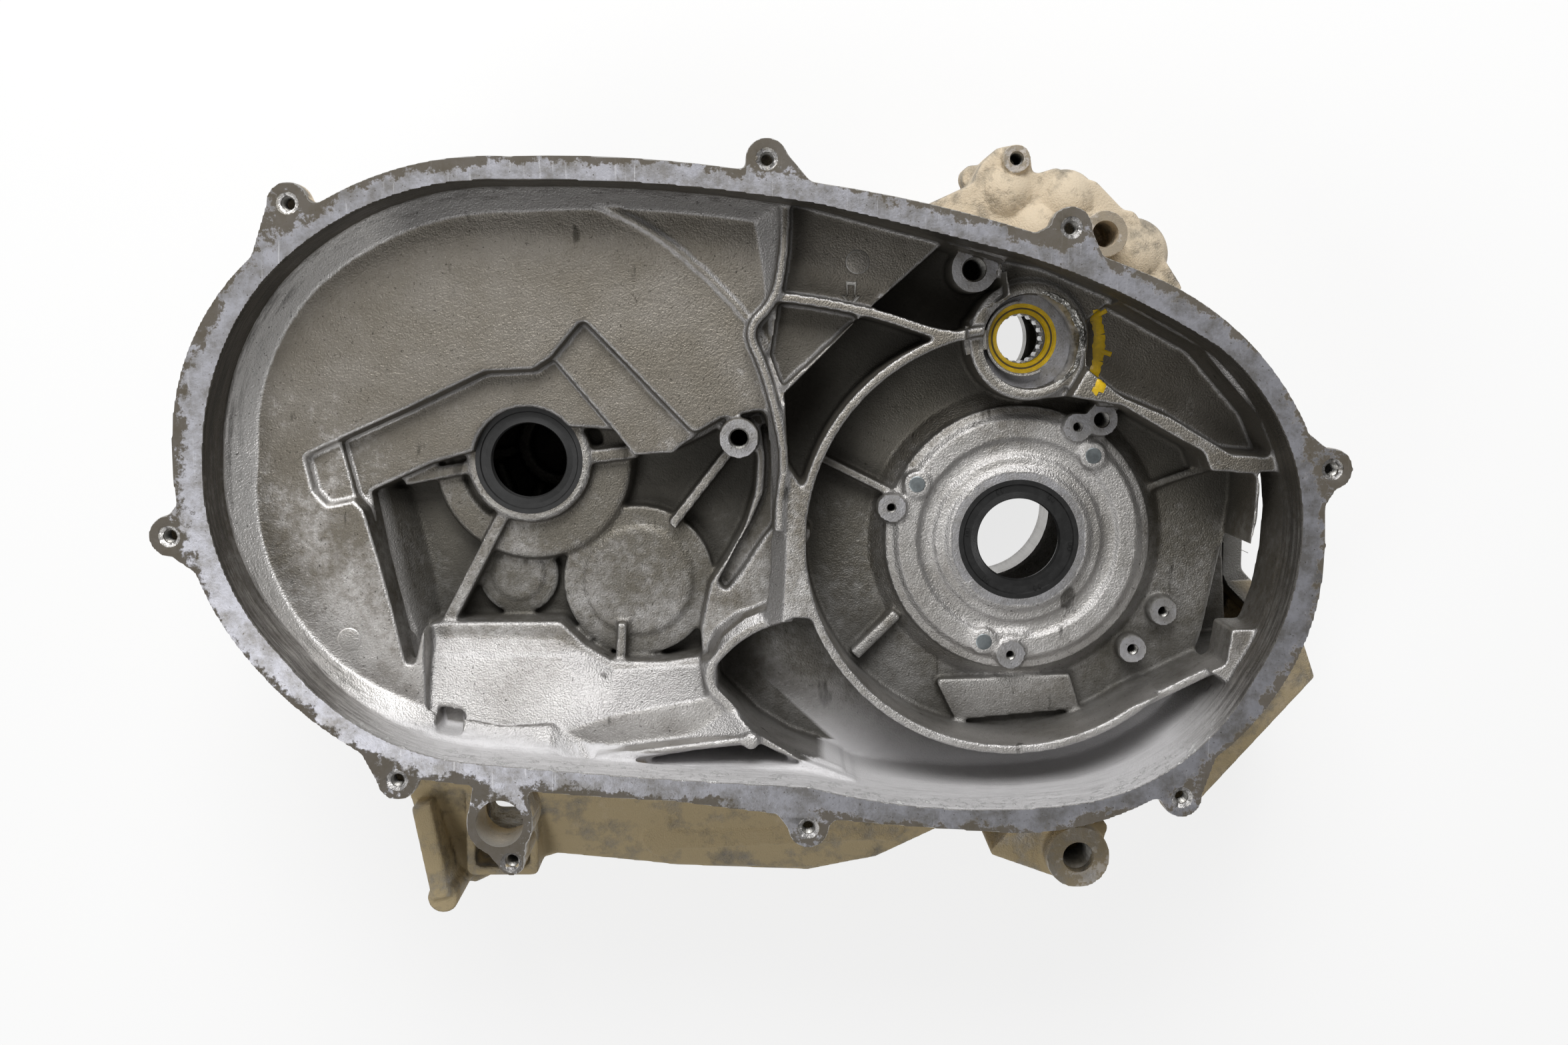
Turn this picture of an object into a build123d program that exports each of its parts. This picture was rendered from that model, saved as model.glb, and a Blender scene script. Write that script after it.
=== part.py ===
"""Crankcase of a single-cylinder engine with a belt-drive housing: two castings, their shaft
seals, a needle bearing, locating dowels and joint screws. Millimetres, +Z out of the housing."""
import os
from math import cos, hypot, radians, sin

from build123d import *

os.makedirs("parts", exist_ok=True)

# Heights, measured from the joint between the two castings
FLANGE_Z = 150.0
COVER_FACE_Z = -85.0

# Belt housing
HOUSING_DEPTH = 80.0
HOUSING_WALL = 5.0
HOUSING_FLOOR = 5.0
FLANGE_T = 9.0
LUG_R = 10.0
LUG_T = 11.0
LUG_STEM = 24.0
COVER_SCREW_R = 3.4
LEDGE_DEPTH = 28.0
LEFT_FLOOR_DEPTH = 38.0
RIB_W = 4.7

# Crankcase below the housing
CASE_WALL = 5.5
RIM_OVERHANG = 7.0
RIM_T = 8.0
CASE_DEPTH = 100.0
END_WALL_TOP = -45.0
END_WALL_T = 6.0
CRANK_CHAMBER_R = 98.0

# Shaft positions seen from the housing side; the crankshaft is the origin
DRIVEN_X = -251.5
DRIVEN_Y = 41.0
STARTER_X = -1.2
STARTER_Y = 103.0

# Shaft seals: outside radius, lip radius, width, depth of the face below the flange
CRANK_SEAL_R = 31.0
CRANK_LIP_R = 21.0
CRANK_SEAL_W = 8.0
CRANK_SEAL_DEPTH = 56.0
DRIVEN_SEAL_R = 27.5
DRIVEN_LIP_R = 19.0
DRIVEN_SEAL_W = 8.0
DRIVEN_SEAL_DEPTH = 57.0
STARTER_SEAL_R = 17.5
STARTER_LIP_R = 12.5
STARTER_SEAL_W = 7.0
STARTER_SEAL_DEPTH = 50.0

# Bearing seats
CRANK_SEAT_R = 40.0
CRANK_SEAT_L = 22.0
STARTER_END_R = 26.0
DRIVEN_SEAT_R = 31.0
DRIVEN_SEAT_L = 18.0

# Needle bearing of the starter shaft
CUP_R = 16.0
CUP_WALL = 1.0
CUP_W = 16.0
ROLLER_R = 1.75
ROLLER_L = 12.0
ROLLER_COUNT = 18
ROLLER_RUNNING = 0.05

# Joint screws and dowels
SCREW_R = 4.0
SCREW_HEAD_R = 6.5
SCREW_HEAD_H = 8.0
SCREW_HOLE_CLEARANCE = 0.45
THREAD_CLEARANCE = 0.05
SCREW_BOSS_R = 9.5
SCREW_THREAD = 30.0
DOWEL_R = 6.0
DOWEL_L = 16.0
DOWEL_FIT = 0.02
SEAL_FIT = 0.02
SPRING_R = 0.8
SPRING_OUT = 3.1
SPRING_UP = 1.8


def z(depth):
    """Height of a face that lies at this depth below the cover flange."""
    return FLANGE_Z - depth


def smooth(points):
    """Plan area inside a closed chain of arcs, each through three of the points."""
    with BuildSketch() as area:
        with BuildLine():
            for i in range(0, len(points), 2):
                ThreePointArc(points[i], points[i + 1], points[(i + 2) % len(points)])
        make_face()
    return area.sketch


def polygon(points, radius=0.0):
    """Plan area inside straight sides, its corners rounded when a radius is given."""
    with BuildSketch() as area:
        with BuildLine():
            Polyline(*points, close=True)
        make_face()
        if radius:
            fillet(area.vertices(), radius)
    return area.sketch


def strip(points, width):
    """Plan area of a wall of even width along a line, or along arcs that run smoothly into each other."""
    with BuildSketch() as area:
        with BuildLine():
            if len(points) == 2:
                Line(*points)
            else:
                arc = ThreePointArc(points[0], points[1], points[2])
                for start, end in zip(points[2:], points[3:]):
                    arc = TangentArc(start, end, tangent=arc % 1)
        trace(line_width=width)
    return area.sketch


def arc_strip(centre, radius, start, span, width):
    """Plan area of a round wall of even width, from a start angle over a span of degrees."""
    with BuildSketch() as area:
        with BuildLine():
            CenterArc(centre, radius, start, span)
        trace(line_width=width)
    return area.sketch


def disc(x, y, radius):
    """Round plan area."""
    with BuildSketch() as area:
        with Locations((x, y)):
            Circle(radius)
    return area.sketch


def ear(x, y, radius, foot):
    """Plan area of a lug that widens from its round end to the two points of its foot."""
    (ax, ay), (bx, by) = foot
    length = hypot(x - (ax + bx) / 2, y - (ay + by) / 2)
    side_x = -(y - (ay + by) / 2) / length * radius
    side_y = (x - (ax + bx) / 2) / length * radius
    with BuildSketch() as area:
        with Locations((x, y)):
            Circle(radius)
        with BuildLine():
            Polyline((x + side_x, y + side_y), (ax, ay), (bx, by), (x - side_x, y - side_y), close=True)
        make_face()
    return area.sketch


def bridge(low_points, low, high_points, high):
    """A solid with flat or twisted sides between two outlines of as many points."""
    with BuildSketch(Plane.XY.offset(low)) as low_area:
        add(polygon(low_points))
    with BuildSketch(Plane.XY.offset(high)) as high_area:
        add(polygon(high_points))
    loft(sections=[low_area.sketch, high_area.sketch], ruled=True, clean=False)


def slab(area, low, high):
    """Raises a plan area between two heights."""
    extrude(area.moved(Location((0, 0, low))), amount=high - low, clean=False)


def sink(area, low, high, taper=0.0):
    """The room below a plan area, its sides leaning in by the taper."""
    extrude(area.moved(Location((0, 0, high))), amount=low - high, taper=taper, clean=False)


# Cover flange: outer edge and the inside of the housing wall
FLANGE_EDGE = [
    (-411.9, 45.8), (-403.8, 93.9), (-370.8, 141.3), (-322.9, 174.1), (-250, 187.4), (-176, 185.5),
    (-104.3, 175.1), (-11.8, 154.9), (48, 134), (87.8, 111.4), (126.8, 63.2), (138.6, 17),
    (134.8, -32.2), (113.3, -76.2), (78, -108.8), (36.4, -131.7), (-13.6, -138.1), (-97.4, -131.3),
    (-175.5, -121.7), (-249.2, -116.4), (-301.1, -110.2), (-338.1, -90.3), (-380.8, -50), (-405.6, -2),
]
INSIDE_EDGE = [
    (-397.1, 45.8), (-389.7, 87.5), (-364.9, 130.3), (-316.9, 164), (-250, 176), (-176, 174),
    (-104.2, 165), (-42, 150.1), (-8.3, 141.5), (43, 121.5), (84, 99), (112, 67.5),
    (127.1, 17.1), (122.9, -23.4), (106, -62), (78, -98), (27.8, -122.5), (-30.5, -126),
    (-109.1, -114.5), (-208.5, -108), (-274.5, -102), (-323.5, -86), (-362, -51), (-390, -6),
]
# Foot of the sloped shoulder round the left floor
SHOULDER_FOOT = [
    (-383, 45), (-376, 89), (-352, 127), (-312, 153), (-250, 164.5), (-180, 165),
    (-136, 160), (-130, 120), (-130, 60), (-128, 10), (-134, -50), (-160, -92),
    (-240, -92), (-300, -84), (-345, -62), (-376, -20),
]
SHOULDER_TOP = [
    (-396, 45), (-388, 88), (-362, 131), (-316, 163), (-250, 175), (-176, 173),
    (-124, 167), (-118, 120), (-122, 60), (-120, 10), (-124, -56), (-150, -106),
    (-240, -105), (-308, -95), (-356, -58), (-388, -10),
]
LUGS = [
    (-352.9, 165.6, ((-374, 132), (-330, 166))),
    (-129.6, 186.0, ((-148, 176), (-104, 170))),
    (13.3, 154.6, ((-8, 150), (32, 134))),
    (140.7, 40.8, ((124, 62), (133, 14))),
    (73.4, -120.4, ((92, -94), (52, -122))),
    (-109.6, -135.2, ((-90, -124), (-130, -122))),
    (-309.9, -110.7, ((-290, -106), (-332, -88))),
    (-414.8, 9.2, ((-396, -14), (-402, 34))),
]
SHIFT_BORE = (-260.6, -132.6)
SHIFT_SCREW = (-255.3, -152.1)
SHIFT_BORE_R = 11.7

# Recess round the driven-shaft boss: shelf, deep pocket, tip, and the valley beside the S wall
RECESS_SHELF = [
    (-345, 52.4), (-310, 68), (-270, 87), (-246, 88), (-237, 94), (-221, 113), (-166, 56), (-152, 64),
    (-131, 68), (-125.5, 50), (-125, 30), (-126, 9), (-119.5, 3), (-117.3, -17), (-119, -29), (-141, -38),
    (-152, -47), (-158, -58), (-163, -61), (-182, -64.5), (-210, -64.5), (-224, -56), (-237, -43.5),
    (-283, -43.5), (-304, -44), (-311, -72), (-319, -34), (-325, -9), (-332, 17), (-338, 24),
]
RECESS_TIP = [(-361, 45), (-357, 27), (-350, 19), (-337, 22), (-329, 30), (-344, 53)]
POCKET = [
    (-331, 26), (-300, 40), (-279, 46), (-251, 60), (-206, 57), (-197, 45.5), (-177, 47), (-160, 55),
    (-150, 61), (-136, 62), (-134.5, 42), (-135.8, 25), (-141, 8), (-150, -8.7), (-159, -22), (-164, -45),
    (-163, -61), (-182, -64), (-210, -64), (-224, -55.5), (-237, -43), (-283, -43), (-304, -43.5),
    (-310, -70), (-318, -34), (-324, -9),
]
LEFT_SLOPE_FOOT = [(-336, 27), (-315.5, 25), (-306.5, -12), (-302.5, -37), (-300.5, -56), (-312, -73)]
LEFT_SLOPE_TOP = [(-336, 27), (-331, 26), (-323, -9), (-316, -34), (-307, -62), (-312, -73)]
S_VALLEY = [
    (-133, 60), (-126, 60), (-125.5, 40), (-126, 9), (-133, 0), (-142, -14), (-151, -26), (-155, -21),
    (-145.5, -3), (-138, 10), (-131.5, 25), (-130.5, 42),
]
LOWER_RAMP_TOP = [
    (-303, -39), (-283, -39), (-236.5, -38), (-225, -49.5), (-211, -58), (-165, -56), (-160, -79),
    (-209, -88), (-236, -98), (-263, -101), (-303, -92),
]
LOWER_RAMP_FOOT = [
    (-303, -39), (-283, -39), (-236.5, -38), (-225, -49.5), (-211, -58), (-165, -56), (-163, -65),
    (-209, -68), (-236, -51), (-263, -49), (-303, -49),
]
LOWER_NOTCH = [(-298, -84), (-285, -86), (-284, -97), (-297, -95)]
SLOT = [(-192, -110.2), (-142, -100.8), (-134, -100), (-109.5, -111.5), (-150, -112.3), (-189, -111.6)]
S_WALL = [
    (-121, 172), (-120.9, 153), (-123.8, 130), (-133.2, 113.8), (-136.1, 99.9), (-128.6, 80),
    (-122.7, 55.3), (-122.3, 30.4), (-123.9, 7.7),
]
FAN_ARC = [(-212, 168), (-188.1, 156.5), (-169.9, 143.3), (-138.2, 111.8), (-129, 96)]
CROSS_RIB = [(-127, 123.5), (-105.7, 120.8), (-82.2, 116.2), (-58, 109), (-32, 104)]

# Round wall of the fan room, a little off the crankshaft's axis
CIRCLE_CENTRE = (-6.8, 2.2)
CIRCLE_R = 105.9
CIRCLE_START = 98.0
CIRCLE_SPAN = 196.0
FAN_ROOM_RIGHT = [(36, -90), (101, -60), (104, -40), (110, -6), (113, 20), (113, 36), (60, 40), (0, 0)]
FAN_ROOM_TOP = [
    (-40, 116), (-28, 100), (-20, 84), (0, 72), (22, 74), (46, 70), (70, 56), (100, 40), (130, 50), (60, 140),
]
SCROLL_WALL = [
    (-116.5, -36.8), (-140.1, -45), (-156.3, -59.3), (-155.7, -75.9), (-140.2, -92.5), (-113, -109.3),
    (-91.2, -117.7),
]
SCROLL_SKIRT_FOOT = [
    (-119, -27), (-148.7, -30.5), (-161, -37.5), (-163.2, -48.6), (-161, -69.6), (-149, -94),
    (-141.5, -91.5), (-155, -75.5), (-155, -60), (-139.5, -46), (-119.5, -37.5),
]
SCROLL_SKIRT_TOP = [
    (-119, -34), (-141.5, -42), (-150.8, -51), (-156.8, -58), (-157, -74), (-144, -93),
    (-141.5, -91.5), (-155, -75.5), (-155, -60), (-139.5, -46), (-119.5, -37.5),
]
DUCT_ROOM = [
    (-116, -36), (-139.7, -46.2), (-155.4, -59.6), (-154.7, -75.9), (-139.4, -91.8), (-112.6, -108.5),
    (-86, -118.5),
    (-60, -140), (60, -140), (106, -72), (92, -63), (40, -80), (-60, -40),
]
TOP_PLATE = [(-118, 170), (-43, 150.5), (-43, 148), (-86, 111.7), (-122, 79), (-128, 95), (-124, 120)]
TOP_DEEP = [
    (-43, 149), (-14, 141), (-12, 124), (-29, 112), (-29, 96), (-60, 50), (-110, 26), (-119, 40), (-121, 76),
    (-86, 111),
]
STARTER_SHELF = [
    (-14, 142), (6, 138), (44, 122), (30, 112), (28, 88), (20, 74), (0, 70), (-24, 78), (-33, 100),
    (-30, 112), (-10, 124),
]
RIGHT_PLATE = [
    (28, 112), (40, 122), (84, 98), (112, 66), (122, 44), (100, 46), (70, 64), (46, 74), (28, 88),
]
RIGHT_RIB = [(38, 71), (52, 70.1), (69.6, 61.4), (87.4, 49.2), (101.5, 44), (123, 40.5)]
LOWER_RIB = [(58, 20), (89.7, 33), (114, 39)]

# Air window low in the right-hand wall, the pocket outside it and the crankcase wall behind it
WINDOW_FLOOR_EDGE = [
    (114, 38), (115.1, 30.8), (114.8, 14.5), (110, -5.7), (106, -25.9), (101, -52), (97.5, -63),
]
WINDOW = WINDOW_FLOOR_EDGE + [(104, -67), (160, -61), (160, 38)]
WINDOW_DEPTH = 62.0
WINDOW_SILL = [(97.5, -63), (104, -67), (150, -61), (150, -54), (100, -54)]
WINDOW_BACK = [(x - 6, y) for x, y in WINDOW_FLOOR_EDGE]
WINDOW_FOOT_WALL = [(92, -60), (97.5, -63), (104, -67), (141, -63), (141, -68.5), (104, -73), (92, -68)]
BULGE = [(-237, 93), (-221, 112), (-164, 55), (-172, 50), (-177, 45.5), (-197, 44.4), (-206, 56)]
BULGE_PIP = [(-247, 87), (-236, 97), (-226, 84), (-236, 78)]

# Crankcase edge below the housing
CASE_EDGE = [
    (-335, -150), (-326, -210), (-300, -213), (-286, -206), (-250, -195), (-183, -203),
    (-106, -206), (-66, -198), (-24, -174), (14, -180), (44, -178), (60, -154), (112, -161), (180, -84),
    (170, -56), (145, -30), (145, 20), (146, 60), (97, 130), (64, 172), (22, 190),
    (-22, 184), (-125, 137), (-200, 120), (-285, 110), (-326, 60), (-339, -40),
]
UPPER_LOBE = [
    (-21, 185), (-16, 195), (-8, 203), (3, 205), (10, 199), (11, 189), (24, 193), (34, 188),
    (45, 186), (60, 171), (66, 170), (78, 152), (94, 128), (60, 120), (-20, 150),
]
CYLINDER_FACE = [(-125, 137), (-22, 184), (-17, 173), (-120, 126)]
CYLINDER_R = 42.0
CYLINDER_LEAN = 24.5
CYLINDER_PLANE = Plane(origin=(0, 0, 0), z_dir=(-sin(radians(CYLINDER_LEAN)), cos(radians(CYLINDER_LEAN)), 0))
MOUNT_BOSS = (31.3, -164.0)
MOUNT_BOSS_R = 16.5
MOUNT_HOLE_R = 8.0

SCREWS = [
    (-62, -170), (62, -128), (132, -88), (112, 60), (30, 160), (-116, 118),
    (-312, -112), (-190, -178), (-312, 20), (-268, 88), (-190, 100), (-120, -112),
]
DOWELS = [(110, -83), (-310, -40)]
SHIFT_WELL_TOP = [(-297, -141), (-257, -141), (-257, -194), (-297, -194)]
SHIFT_WELL_LOW = [(-309, -145), (-259, -145), (-259, -200), (-309, -200)]
EARS = [(-65.7, 16.4), (-3.1, -60.7), (29.4, 58.0)]
BLIND_DISCS = [(-52.6, 28.5), (-17.1, -53.7), (37.8, 43.2)]
LOBE_LUMPS = [(-2, 180, 38, 18), (30, 176, 40, 17), (67, 148, 36, 20), (14, 160, 40, 17)]
NUMBER_PAD_Z = 38.0
CASE_TOP = z(HOUSING_DEPTH) - HOUSING_FLOOR
SCREW_SEAT_Z = END_WALL_TOP - END_WALL_T
ROLLER_PITCH_R = CUP_R - CUP_WALL - ROLLER_R - ROLLER_RUNNING
BEARING_Z = z(STARTER_SEAL_DEPTH + STARTER_SEAL_W + CUP_W + 1)
ROLLER_Z = BEARING_Z + (CUP_W - ROLLER_L) / 2
CRANK_SEAT_Z = 56.0
DRIVEN_SEAT_Z = 58.0

# Grooves between the ribs of the driven-shaft boss: start, span, radii and floor
BOSS_GROOVES = [
    (12, 72, 32, 38.5, z(71)), (98, 78, 32, 38, z(71)), (98, 78, 46.5, 53.5, z(71)),
    (192, 42, 32, 36.5, z(69)),
]

# Slope of the crankcase's lower side, as height at a distance out
SLOPE_START = -138.0
LOWER_SLOPE = [(SLOPE_START, 52), (-230, 52), (-230, 12), (-206, 22)]

# Plan areas shared by the two castings
with BuildSketch(mode=Mode.PRIVATE) as case_plan:
    add(polygon(CASE_EDGE, 4))
    offset(amount=-RIM_OVERHANG)
case_outside = case_plan.sketch
with BuildSketch(mode=Mode.PRIVATE) as room_plan:
    add(polygon(CASE_EDGE, 4))
    offset(amount=-RIM_OVERHANG - CASE_WALL)
case_inside = room_plan.sketch
with BuildSketch(mode=Mode.PRIVATE) as overlap_plan:
    add(case_outside)
    add(smooth(INSIDE_EDGE), mode=Mode.INTERSECT)
under_housing = overlap_plan.sketch
with BuildSketch(mode=Mode.PRIVATE) as divider_plan:
    Circle(CRANK_CHAMBER_R + CASE_WALL)
    Circle(CRANK_CHAMBER_R, mode=Mode.SUBTRACT)
    with Locations((-75, 0)):
        Rectangle(150, 400, mode=Mode.INTERSECT)
    add(case_inside, mode=Mode.INTERSECT)
chamber_wall = divider_plan.sketch
with BuildSketch(mode=Mode.PRIVATE) as ring_plan:
    add(case_outside)
    add(case_inside, mode=Mode.SUBTRACT)
case_ring = ring_plan.sketch
with BuildSketch(mode=Mode.PRIVATE) as guard_plan:
    add(polygon(RECESS_SHELF, 3))
    offset(amount=HOUSING_FLOOR)
    add(polygon(RECESS_TIP))
    with Locations((-130, 0)):
        Rectangle(44, 400)
    with Locations((-230, -90)):
        Rectangle(180, 60)
recess_guard = guard_plan.sketch
with BuildSketch(mode=Mode.PRIVATE) as fan_plan:
    with Locations(CIRCLE_CENTRE):
        Circle(CIRCLE_R - RIB_W / 2)
    add(polygon(FAN_ROOM_RIGHT))
    add(polygon(FAN_ROOM_TOP), mode=Mode.SUBTRACT)
fan_room = fan_plan.sketch
with BuildSketch(mode=Mode.PRIVATE) as duct_plan:
    add(polygon(DUCT_ROOM))
    add(smooth(INSIDE_EDGE), mode=Mode.INTERSECT)
    with Locations(CIRCLE_CENTRE):
        Circle(CIRCLE_R + RIB_W / 2, mode=Mode.SUBTRACT)
    add(polygon(FAN_ROOM_RIGHT), mode=Mode.SUBTRACT)
duct_room = duct_plan.sketch
with BuildSketch(mode=Mode.PRIVATE) as deep_plan:
    add(polygon(TOP_DEEP))
    with Locations(CIRCLE_CENTRE):
        Circle(CIRCLE_R + RIB_W / 2, mode=Mode.SUBTRACT)
top_deep = deep_plan.sketch

with BuildPart() as housing_rooms:
    # main cavity, the left floor with its sloped shoulder, and the rooms between the walls
    slab(smooth(INSIDE_EDGE), z(LEDGE_DEPTH), FLANGE_Z + 1)
    with BuildSketch(Plane.XY.offset(z(LEFT_FLOOR_DEPTH))) as shoulder_foot:
        add(smooth(SHOULDER_FOOT))
    with BuildSketch(Plane.XY.offset(z(LEDGE_DEPTH))) as shoulder_top:
        add(smooth(SHOULDER_TOP))
    loft(sections=[shoulder_foot.sketch, shoulder_top.sketch], ruled=True)
    sink(polygon(RECESS_SHELF, 3), z(50), z(LEFT_FLOOR_DEPTH), taper=8)
    sink(polygon(RECESS_TIP, 2), z(44), z(LEFT_FLOOR_DEPTH), taper=15)
    sink(polygon(POCKET, 1), z(78), z(50), taper=3)
    slab(polygon(S_VALLEY, 1), z(60), z(50))
    bridge(LOWER_RAMP_FOOT, z(56), LOWER_RAMP_TOP, z(LEFT_FLOOR_DEPTH))
    slab(polygon(LOWER_NOTCH, 1), z(50), z(LEDGE_DEPTH))
    slab(fan_room, z(73), z(LEDGE_DEPTH))
    slab(duct_room, z(HOUSING_DEPTH), z(LEDGE_DEPTH))
    slab(polygon(TOP_PLATE, 1), z(46), z(LEDGE_DEPTH))
    slab(top_deep, z(78), z(LEDGE_DEPTH))
    slab(polygon(STARTER_SHELF, 1), z(44), z(LEDGE_DEPTH))
    sink(polygon(RIGHT_PLATE, 3), z(52), z(LEDGE_DEPTH), taper=5)
    slab(polygon(SLOT, 0.8), z(72), z(LEDGE_DEPTH) + 1)

with BuildPart() as underside_rooms:
    # the left floor is thin: hollow below, except at the crankcase wall and round the boss recess
    with BuildSketch(Plane.XY.offset(CASE_TOP - 1)):
        add(smooth(SHOULDER_TOP))
        offset(amount=-2)
        add(case_ring, mode=Mode.SUBTRACT)
        add(recess_guard, mode=Mode.SUBTRACT)
    extrude(amount=z(LEFT_FLOOR_DEPTH) - HOUSING_FLOOR - CASE_TOP + 1, clean=False)

with BuildPart() as air_walls:
    # thin walls that guide the cooling air
    slab(strip(S_WALL, RIB_W), z(80), z(26))
    slab(strip(CROSS_RIB, RIB_W), z(80), z(28))
    slab(arc_strip(CIRCLE_CENTRE, CIRCLE_R, CIRCLE_START, CIRCLE_SPAN, RIB_W), z(80), z(34))
    slab(strip([(35.5, -94.9), (104, -61)], RIB_W), z(80), z(36))
    slab(strip(SCROLL_WALL, RIB_W), z(80), z(36))
    slab(strip(RIGHT_RIB, RIB_W), z(75), z(50))
    slab(strip(LOWER_RIB, 4), z(75), z(69))
    slab(strip([(-124, 6), (-108, 4)], 6), z(80), z(42))
    slab(strip([(-117, -35), (-106, -30)], 5), z(80), z(44))
    slab(strip([(-216, -107.5), (-140, -98)], 4), z(60), z(26))
    slab(disc(-138, -98.6, 4.2), z(60), z(25))
    slab(strip(FAN_ARC, 2.4), z(50), z(36.2))
    bridge(SCROLL_SKIRT_FOOT, z(64), SCROLL_SKIRT_TOP, z(37))
    bridge(LEFT_SLOPE_FOOT, z(79), LEFT_SLOPE_TOP, z(59))

with BuildPart() as bosses:
    # driven-shaft boss with its ring, bands and four ribs, gear boss and blind bosses
    with Locations((DRIVEN_X + 1, DRIVEN_Y - 1, z(80))):
        Cone(53, 50.5, 15, align=(Align.CENTER, Align.CENTER, Align.MIN))
    for start, span, inner, outer, low in BOSS_GROOVES:
        with BuildSketch(Plane.XY.offset(low)):
            with BuildLine():
                first = CenterArc((DRIVEN_X, DRIVEN_Y), outer, start, span)
                second = CenterArc((DRIVEN_X, DRIVEN_Y), inner, start, span)
                Line(first @ 0, second @ 0)
                Line(first @ 1, second @ 1)
            make_face()
        extrude(amount=12, mode=Mode.SUBTRACT)
    slab(disc(DRIVEN_X, DRIVEN_Y, DRIVEN_SEAL_R + 4.5), z(80), z(DRIVEN_SEAL_DEPTH + 1))
    slab(disc(DRIVEN_X, DRIVEN_Y, DRIVEN_SEAL_R + 2.5), z(80), z(DRIVEN_SEAL_DEPTH))
    slab(strip([(-251, 68), (-249, 91)], 7), z(80), z(58.5))
    slab(strip([(-279, 38), (-316, 31)], 6.5), z(80), z(58.5))
    slab(strip([(-224, 42), (-196, 45.5)], 7), z(80), z(58.5))
    slab(strip([(-264, 16), (-299, -50)], 6.5), z(80), z(59))
    slab(polygon(BULGE, 2), z(80), z(46))
    slab(polygon(BULGE_PIP, 1), z(80), z(55))
    slab(disc(-196.9, -22.8, 39.3), z(80), z(67))
    slab(disc(-196.9, -22.8, 28), z(80), z(65.6))
    slab(disc(-260.3, -20.3, 21), z(80), z(72))
    slab(disc(-260.3, -20.3, 13), z(80), z(71))
    slab(strip([(-147, 48), (-179, 7)], 5), z(80), z(58))
    slab(strip([(-205, -44), (-206.5, -67)], 5), z(80), z(59))
    slab(disc(-143.7, 53.6, 10), z(80), z(34))

    # crankshaft boss with stepped rings, three ears and screw bosses
    with Locations((0, 0, z(76))):
        Cone(80, 62, 18, align=(Align.CENTER, Align.CENTER, Align.MIN))
    with BuildSketch(Plane.XY.offset(z(58))):
        Circle(52)
        Circle(CRANK_SEAL_R + 12, mode=Mode.SUBTRACT)
    extrude(amount=-2, mode=Mode.SUBTRACT)
    slab(disc(0, 0, 69), z(76), z(61))
    slab(disc(0, 0, CRANK_SEAL_R + 6), z(76), z(CRANK_SEAL_DEPTH))
    for x, y in EARS:
        slab(strip([(x * 0.8, y * 0.8), (x, y)], 15), z(76), z(58))
        slab(disc(x, y, 7.5), z(76), z(56))
    for x, y in BLIND_DISCS:
        slab(disc(x, y, 7), z(76), z(56.5))
    slab(disc(41.6, 61.6, 8.5), z(80), z(56))
    slab(disc(77.6, -39.0, 7.5), z(80), z(62))
    slab(disc(61.9, -59.0, 7.5), z(80), z(62))
    slab(strip([(-106, 44), (-66, 24)], 4), z(76), z(60))
    slab(strip([(-84, -62), (-62, -40)], 6), z(76), z(62))
    slab(polygon([(-41, -76), (30, -73), (36, -92), (-30, -98)], 2), z(76), z(67))

    # starter boss and the screw boss beside it
    slab(disc(1.0, 102, 30), z(80), z(41))
    slab(disc(-26.4, 137.1, 11.5), z(80), z(44))

with BuildPart() as lower_shave:
    with BuildSketch(Plane.YZ.offset(-345)):
        add(polygon(LOWER_SLOPE))
    extrude(amount=320)
with BuildPart() as case_room:
    with BuildSketch():
        add(case_inside)
    extrude(amount=z(CASE_DEPTH) - CASE_WALL)
    add(lower_shave.part.moved(Location((0, 0, -CASE_WALL))), mode=Mode.SUBTRACT)

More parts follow.
